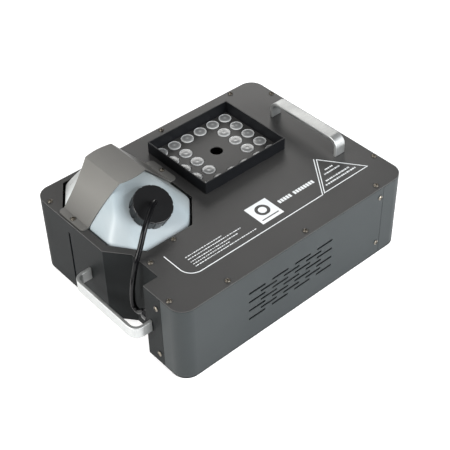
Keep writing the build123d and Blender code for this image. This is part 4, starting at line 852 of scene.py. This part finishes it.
@dataclass
class LampRing:
    """The clear domed lenses in their cover holes, each over a mirror cup."""

    pitch_x: float = 0.0255
    pitch_y: float = 0.0265
    columns: int = 6
    rows: int = 5
    radius: float = 0.0099
    proud: float = 0.0011
    lip: float = 0.0009
    foot: float = 0.0045
    depth: float = 0.0120
    cup_mouth: float = 0.0092
    cup_foot: float = 0.0050
    steps: int = 40

    def spots(self) -> list[tuple[float, float]]:
        """The lamp places: the outer ring of the grid and three more at each end."""
        places = []
        for column in range(self.columns):
            for row in range(self.rows):
                on_ring = column in (0, self.columns - 1) or row in (0, self.rows - 1)
                if on_ring or column in (1, self.columns - 2):
                    x = LAMP_CENTRE[0] + (column - (self.columns - 1) / 2) * self.pitch_x
                    y = LAMP_CENTRE[1] + (row - (self.rows - 1) / 2) * self.pitch_y
                    places.append((x, y))
        return places

    def lens_profile(self) -> np.ndarray:
        """Radius and height of a lens: a dimple, a crown, a rounded rim and a cone down to its foot.

        Returns:
            Rows of radius and height, from the middle of the crown to the middle of the foot.
        """
        share = np.linspace(0, 1, 12)
        crown = np.column_stack([share * (self.radius - self.lip), self.proud * (1 - 0.55 * share**2)])
        crown[:, 1] -= 0.0004 * np.exp(-((share / 0.28) ** 2))
        turn = np.linspace(0, np.pi, 9)
        half = self.lip / 2
        rim = np.column_stack([self.radius - half - half * np.cos(turn), 0.00045 + half * np.sin(turn)])
        foot = np.array([[self.radius, -0.0012], [self.foot, -self.depth], [0.0, -self.depth]])
        return np.vstack([crown, rim[1:], foot])

    def cup_profile(self) -> np.ndarray:
        """Radius and height of a mirror cup: a parabola and its thin back.

        Returns:
            Rows of radius and height, closed on itself.
        """
        height = np.linspace(0, 1, 9)
        radius = self.cup_foot + (self.cup_mouth - self.cup_foot) * np.sqrt(height)
        rise = -0.0100 + 0.0088 * height
        inner = np.column_stack([radius, rise])
        outer = np.column_stack([radius + 0.0003, rise - 0.0002])[::-1]
        return np.vstack([inner, outer, inner[:1]])

    def measure(self, piece: bpy.types.Object) -> None:
        """Writes each point's share of the lens radius, from its own lamp's axis, for the lens finish.

        Args:
            piece: The joined lenses or cups.
        """
        places = np.empty(len(piece.data.vertices) * 3)
        piece.data.vertices.foreach_get("co", places)
        flat = places.reshape(-1, 3)[:, :2]
        away = np.linalg.norm(flat[:, None, :] - np.array(self.spots())[None, :, :], axis=-1).min(axis=1)
        share = piece.data.attributes.new("share", "FLOAT", "POINT")
        share.data.foreach_set("value", (away / self.radius).astype(np.float32))

    def build(self, paint: Paintbox) -> None:
        """Builds a lens and a cup for each lamp."""
        kinds = (("lamp_lenses", self.lens_profile(), "lens_dome"), ("lamp_cups", self.cup_profile(), "mirror_cup"))
        for name, profile, slot in kinds:
            turns = [
                turned(f"{name}_{n}", profile, (x, y, TOP_Z), (0, 0, 1), self.steps)
                for n, (x, y) in enumerate(self.spots())
            ]
            whole = join_pieces(name, turns)
            whole.data.polygons.foreach_set("use_smooth", np.ones(len(whole.data.polygons), dtype=bool))
            self.measure(whole)
            paint.dress(whole, slot)
            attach(whole, CASE)
            if name == "lamp_lenses":
                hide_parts("led_lenses")


@dataclass
class FluidTank:
    """The blow-moulded tank: the space inside a set of planes, with every edge and corner rounded."""

    front: float = 14.9
    back: float = 159.0
    right: float = 127.0
    left: float = 318.0
    front_cut: float = 31.5
    back_cut: float = 36.0
    side_cut: float = 43.5
    end_slope: float = 47.7
    left_slope: float = 58.0
    rim_drop: float = 6.6
    top: float = 0.0555
    bottom: float = 0.0115
    sharpness: float = 58.0
    rings: int = 170
    steps: int = 340

    def planes(self) -> tuple[np.ndarray, np.ndarray]:
        """The planes that bound the tank.

        Returns:
            A point on each plane, and each plane's outward direction.
        """
        corners = np.array([
            spot(self.front, self.left - self.side_cut),
            spot(self.front, self.right + self.side_cut),
            spot(self.front + self.front_cut, self.right),
            spot(self.back - self.back_cut, self.right),
            spot(self.back, self.right + self.side_cut),
            spot(self.back, self.left - self.side_cut),
            spot(self.back - self.back_cut, self.left),
            spot(self.front + self.front_cut, self.left),
        ])
        along = np.roll(corners, -1, axis=0) - corners
        sides = np.column_stack([along[:, 1], -along[:, 0], np.zeros(8)])
        slope, fall = math.radians(self.end_slope), math.radians(self.left_slope)
        facets = [
            (spot(0, self.right, self.rim_drop), (0, -math.sin(NECK_TILT), math.cos(NECK_TILT))),
            (spot(self.front, self.left), (-math.sin(slope), 0, math.cos(slope))),
            (spot(self.back, self.left), (math.sin(slope), 0, math.cos(slope))),
            (spot(0, self.left), (0, math.sin(fall), math.cos(fall))),
            *self.corner_facets(),
            ((0, 0, TOP_Z + self.top), (0, 0, 1)),
            ((0, 0, self.bottom), (0, 0, -1)),
        ]
        points = np.vstack([corners, [point for point, _ in facets]])
        normals = np.vstack([sides, [normal for _, normal in facets]])
        normals = normals / np.linalg.norm(normals, axis=1)[:, None]
        middle = corners.mean(axis=0)
        inward = np.sum((points[:8] - middle) * normals[:8], axis=1) < 0
        normals[:8][inward] *= -1
        return points, normals

    def corner_facets(self) -> list[tuple[Point, Point]]:
        """The small facets over the slanted corners."""
        return [
            (spot(self.front, self.right + self.side_cut), (-0.532, -0.431, 0.728)),
            (spot(self.back, self.right + self.side_cut), (0.506, -0.446, 0.738)),
            (spot(self.front, self.left - self.side_cut), (-0.600, 0.440, 0.668)),
            (spot(self.back, self.left - self.side_cut), (0.575, 0.455, 0.680)),
        ]

    def build(self, paint: Paintbox) -> None:
        """Builds the tank.

        From a middle point, the distance in each direction is the p-norm of the planes' closeness to the power minus
        one. With a high p it follows the nearest plane, and it turns softly where two planes are as near.

        Args:
            paint: The finishes.
        """
        points, normals = self.planes()
        middle = np.array(spot((self.front + self.back) / 2, (self.right + self.left) / 2 + 4, 40))
        reach = np.sum((points - middle) * normals, axis=1)
        around = np.linspace(0, 2 * np.pi, self.steps, endpoint=False)
        down = np.linspace(0, np.pi, self.rings)
        ways = np.stack([
            np.sin(down)[:, None] * np.cos(around)[None, :],
            np.sin(down)[:, None] * np.sin(around)[None, :],
            np.broadcast_to(np.cos(down)[:, None], (self.rings, self.steps)),
        ], axis=-1)
        closeness = np.clip(ways @ normals.T / reach, 1e-6, None)
        peak = closeness.max(axis=-1, keepdims=True)
        distance = 1 / (peak[..., 0] * np.sum((closeness / peak) ** self.sharpness, axis=-1) ** (1 / self.sharpness))
        faces = grid_faces(self.rings, self.steps, False, True)
        tank = make_piece("tank_body", middle + ways * distance[..., None], faces)
        paint.dress(tank, "tank_plastic")
        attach(tank, CASE)
        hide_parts("fluid_tank")


@dataclass
class Studio:
    """The pale floor, the soft lights and the camera."""

    floor: float = 6.0
    camera_place: Point = (-0.749694, -0.891495, 1.105109)
    azimuth: float = -130.65
    elevation: float = 41.86
    roll: float = -1.40
    focal: float = 83.83

    def build(self) -> None:
        """Builds the floor, the lights and the camera."""
        self.lay_floor()
        self.set_lights()
        self.set_camera()

    def lay_floor(self) -> None:
        """Lays a large pale floor under the feet, with a faint mottle."""
        size = self.floor
        points = np.array([[-size, -size, 0.0], [size, -size, 0.0], [size, size, 0.0], [-size, size, 0.0]])
        floor = make_piece("floor", points, np.array([[0, 1, 2, 3]]), smooth=False)
        work = Sockets("floor_white")
        work.join(work.blend(work.noise(3.0), (0.90, 0.90, 0.90), (0.93, 0.93, 0.93)), work.shader.inputs["Base Color"])
        work.set(Roughness=0.7, Specular_IOR_Level=0.2, Emission_Color=(1.0, 1.0, 1.0, 1.0), Emission_Strength=0.4)
        floor.data.materials.append(work.material)

    def lamp(self, name: str, place: Point, aim: Point, size: float, power: float, colour: Colour = (1, 1, 1)) -> None:
        """One soft square light.

        Args:
            name: The light's name.
            place: Where it hangs.
            aim: What it points at.
            size: Its side in metres.
            power: Its power in watts.
            colour: Its colour.
        """
        data = bpy.data.lights.new(name, "AREA")
        data.size = size
        data.energy = power
        data.color = colour
        light = bpy.data.objects.new(name, data)
        bpy.context.scene.collection.objects.link(light)
        light.location = place
        light.rotation_euler = (Vector(aim) - Vector(place)).to_track_quat("-Z", "Y").to_euler()

    def set_lights(self) -> None:
        """Sets a dim even surround and four soft square lamps: key, side, left and front."""
        world = bpy.data.worlds.new("surround")
        bpy.context.scene.world = world
        world.use_nodes = True
        back = world.node_tree.nodes["Background"]
        back.inputs["Color"].default_value = (0.97, 0.98, 1.0, 1.0)
        back.inputs["Strength"].default_value = 0.20
        self.lamp("key", (1.7, 1.9, 1.3), (0.05, 0.05, 0.12), 1.3, 21.0, (1.0, 0.985, 0.96))
        self.lamp("side", (0.25, -1.3, 0.75), (0.05, -0.165, 0.05), 0.9, 34.0, (0.96, 0.98, 1.0))
        self.lamp("left", (-0.55, 0.75, 1.9), (-0.12, 0.05, 0.12), 0.9, 6.0, (1.0, 0.99, 0.97))
        self.lamp("front", (-1.7, 0.25, 0.95), (-0.15, 0.05, 0.12), 0.8, 38.0, (1.0, 0.99, 0.97))
        bpy.context.scene.view_settings.view_transform = "Standard"

    def set_camera(self) -> None:
        """Places the camera by its angles round the object."""
        azimuth, elevation, roll = (math.radians(angle) for angle in (self.azimuth, self.elevation, self.roll))
        level = math.cos(elevation)
        back = Vector((level * math.cos(azimuth), level * math.sin(azimuth), math.sin(elevation)))
        right = (-back).cross(Vector((0, 0, 1))).normalized()
        up = right.cross(-back)
        turned_right = right * math.cos(roll) + up * math.sin(roll)
        turned_up = up * math.cos(roll) - right * math.sin(roll)
        data = bpy.data.cameras.new("camera")
        data.sensor_width = 36.0
        data.lens = self.focal
        data.clip_start = 0.05
        data.clip_end = 30.0
        camera = bpy.data.objects.new("camera", data)
        bpy.context.scene.collection.objects.link(camera)
        turn = Matrix((turned_right, turned_up, back)).transposed()
        camera.matrix_world = Matrix.Translation(self.camera_place) @ turn.to_4x4()
        bpy.context.scene.camera = camera


def main() -> None:
    """Builds every sub-assembly in order and reports each."""
    logging.basicConfig(level=logging.INFO, format="%(name)s: %(message)s")
    Studio().build()
    paint = Paintbox(FINISHES)
    paint.dress_frame()
    log.info("frame dressed with %d finishes", len(paint.materials))
    for assembly in (FluidHose(), FluidTank(), CoverPrint(), LampRing()):
        assembly.build(paint)
        log.info("built %s", type(assembly).__name__)


if __name__ == "__main__":
    main()
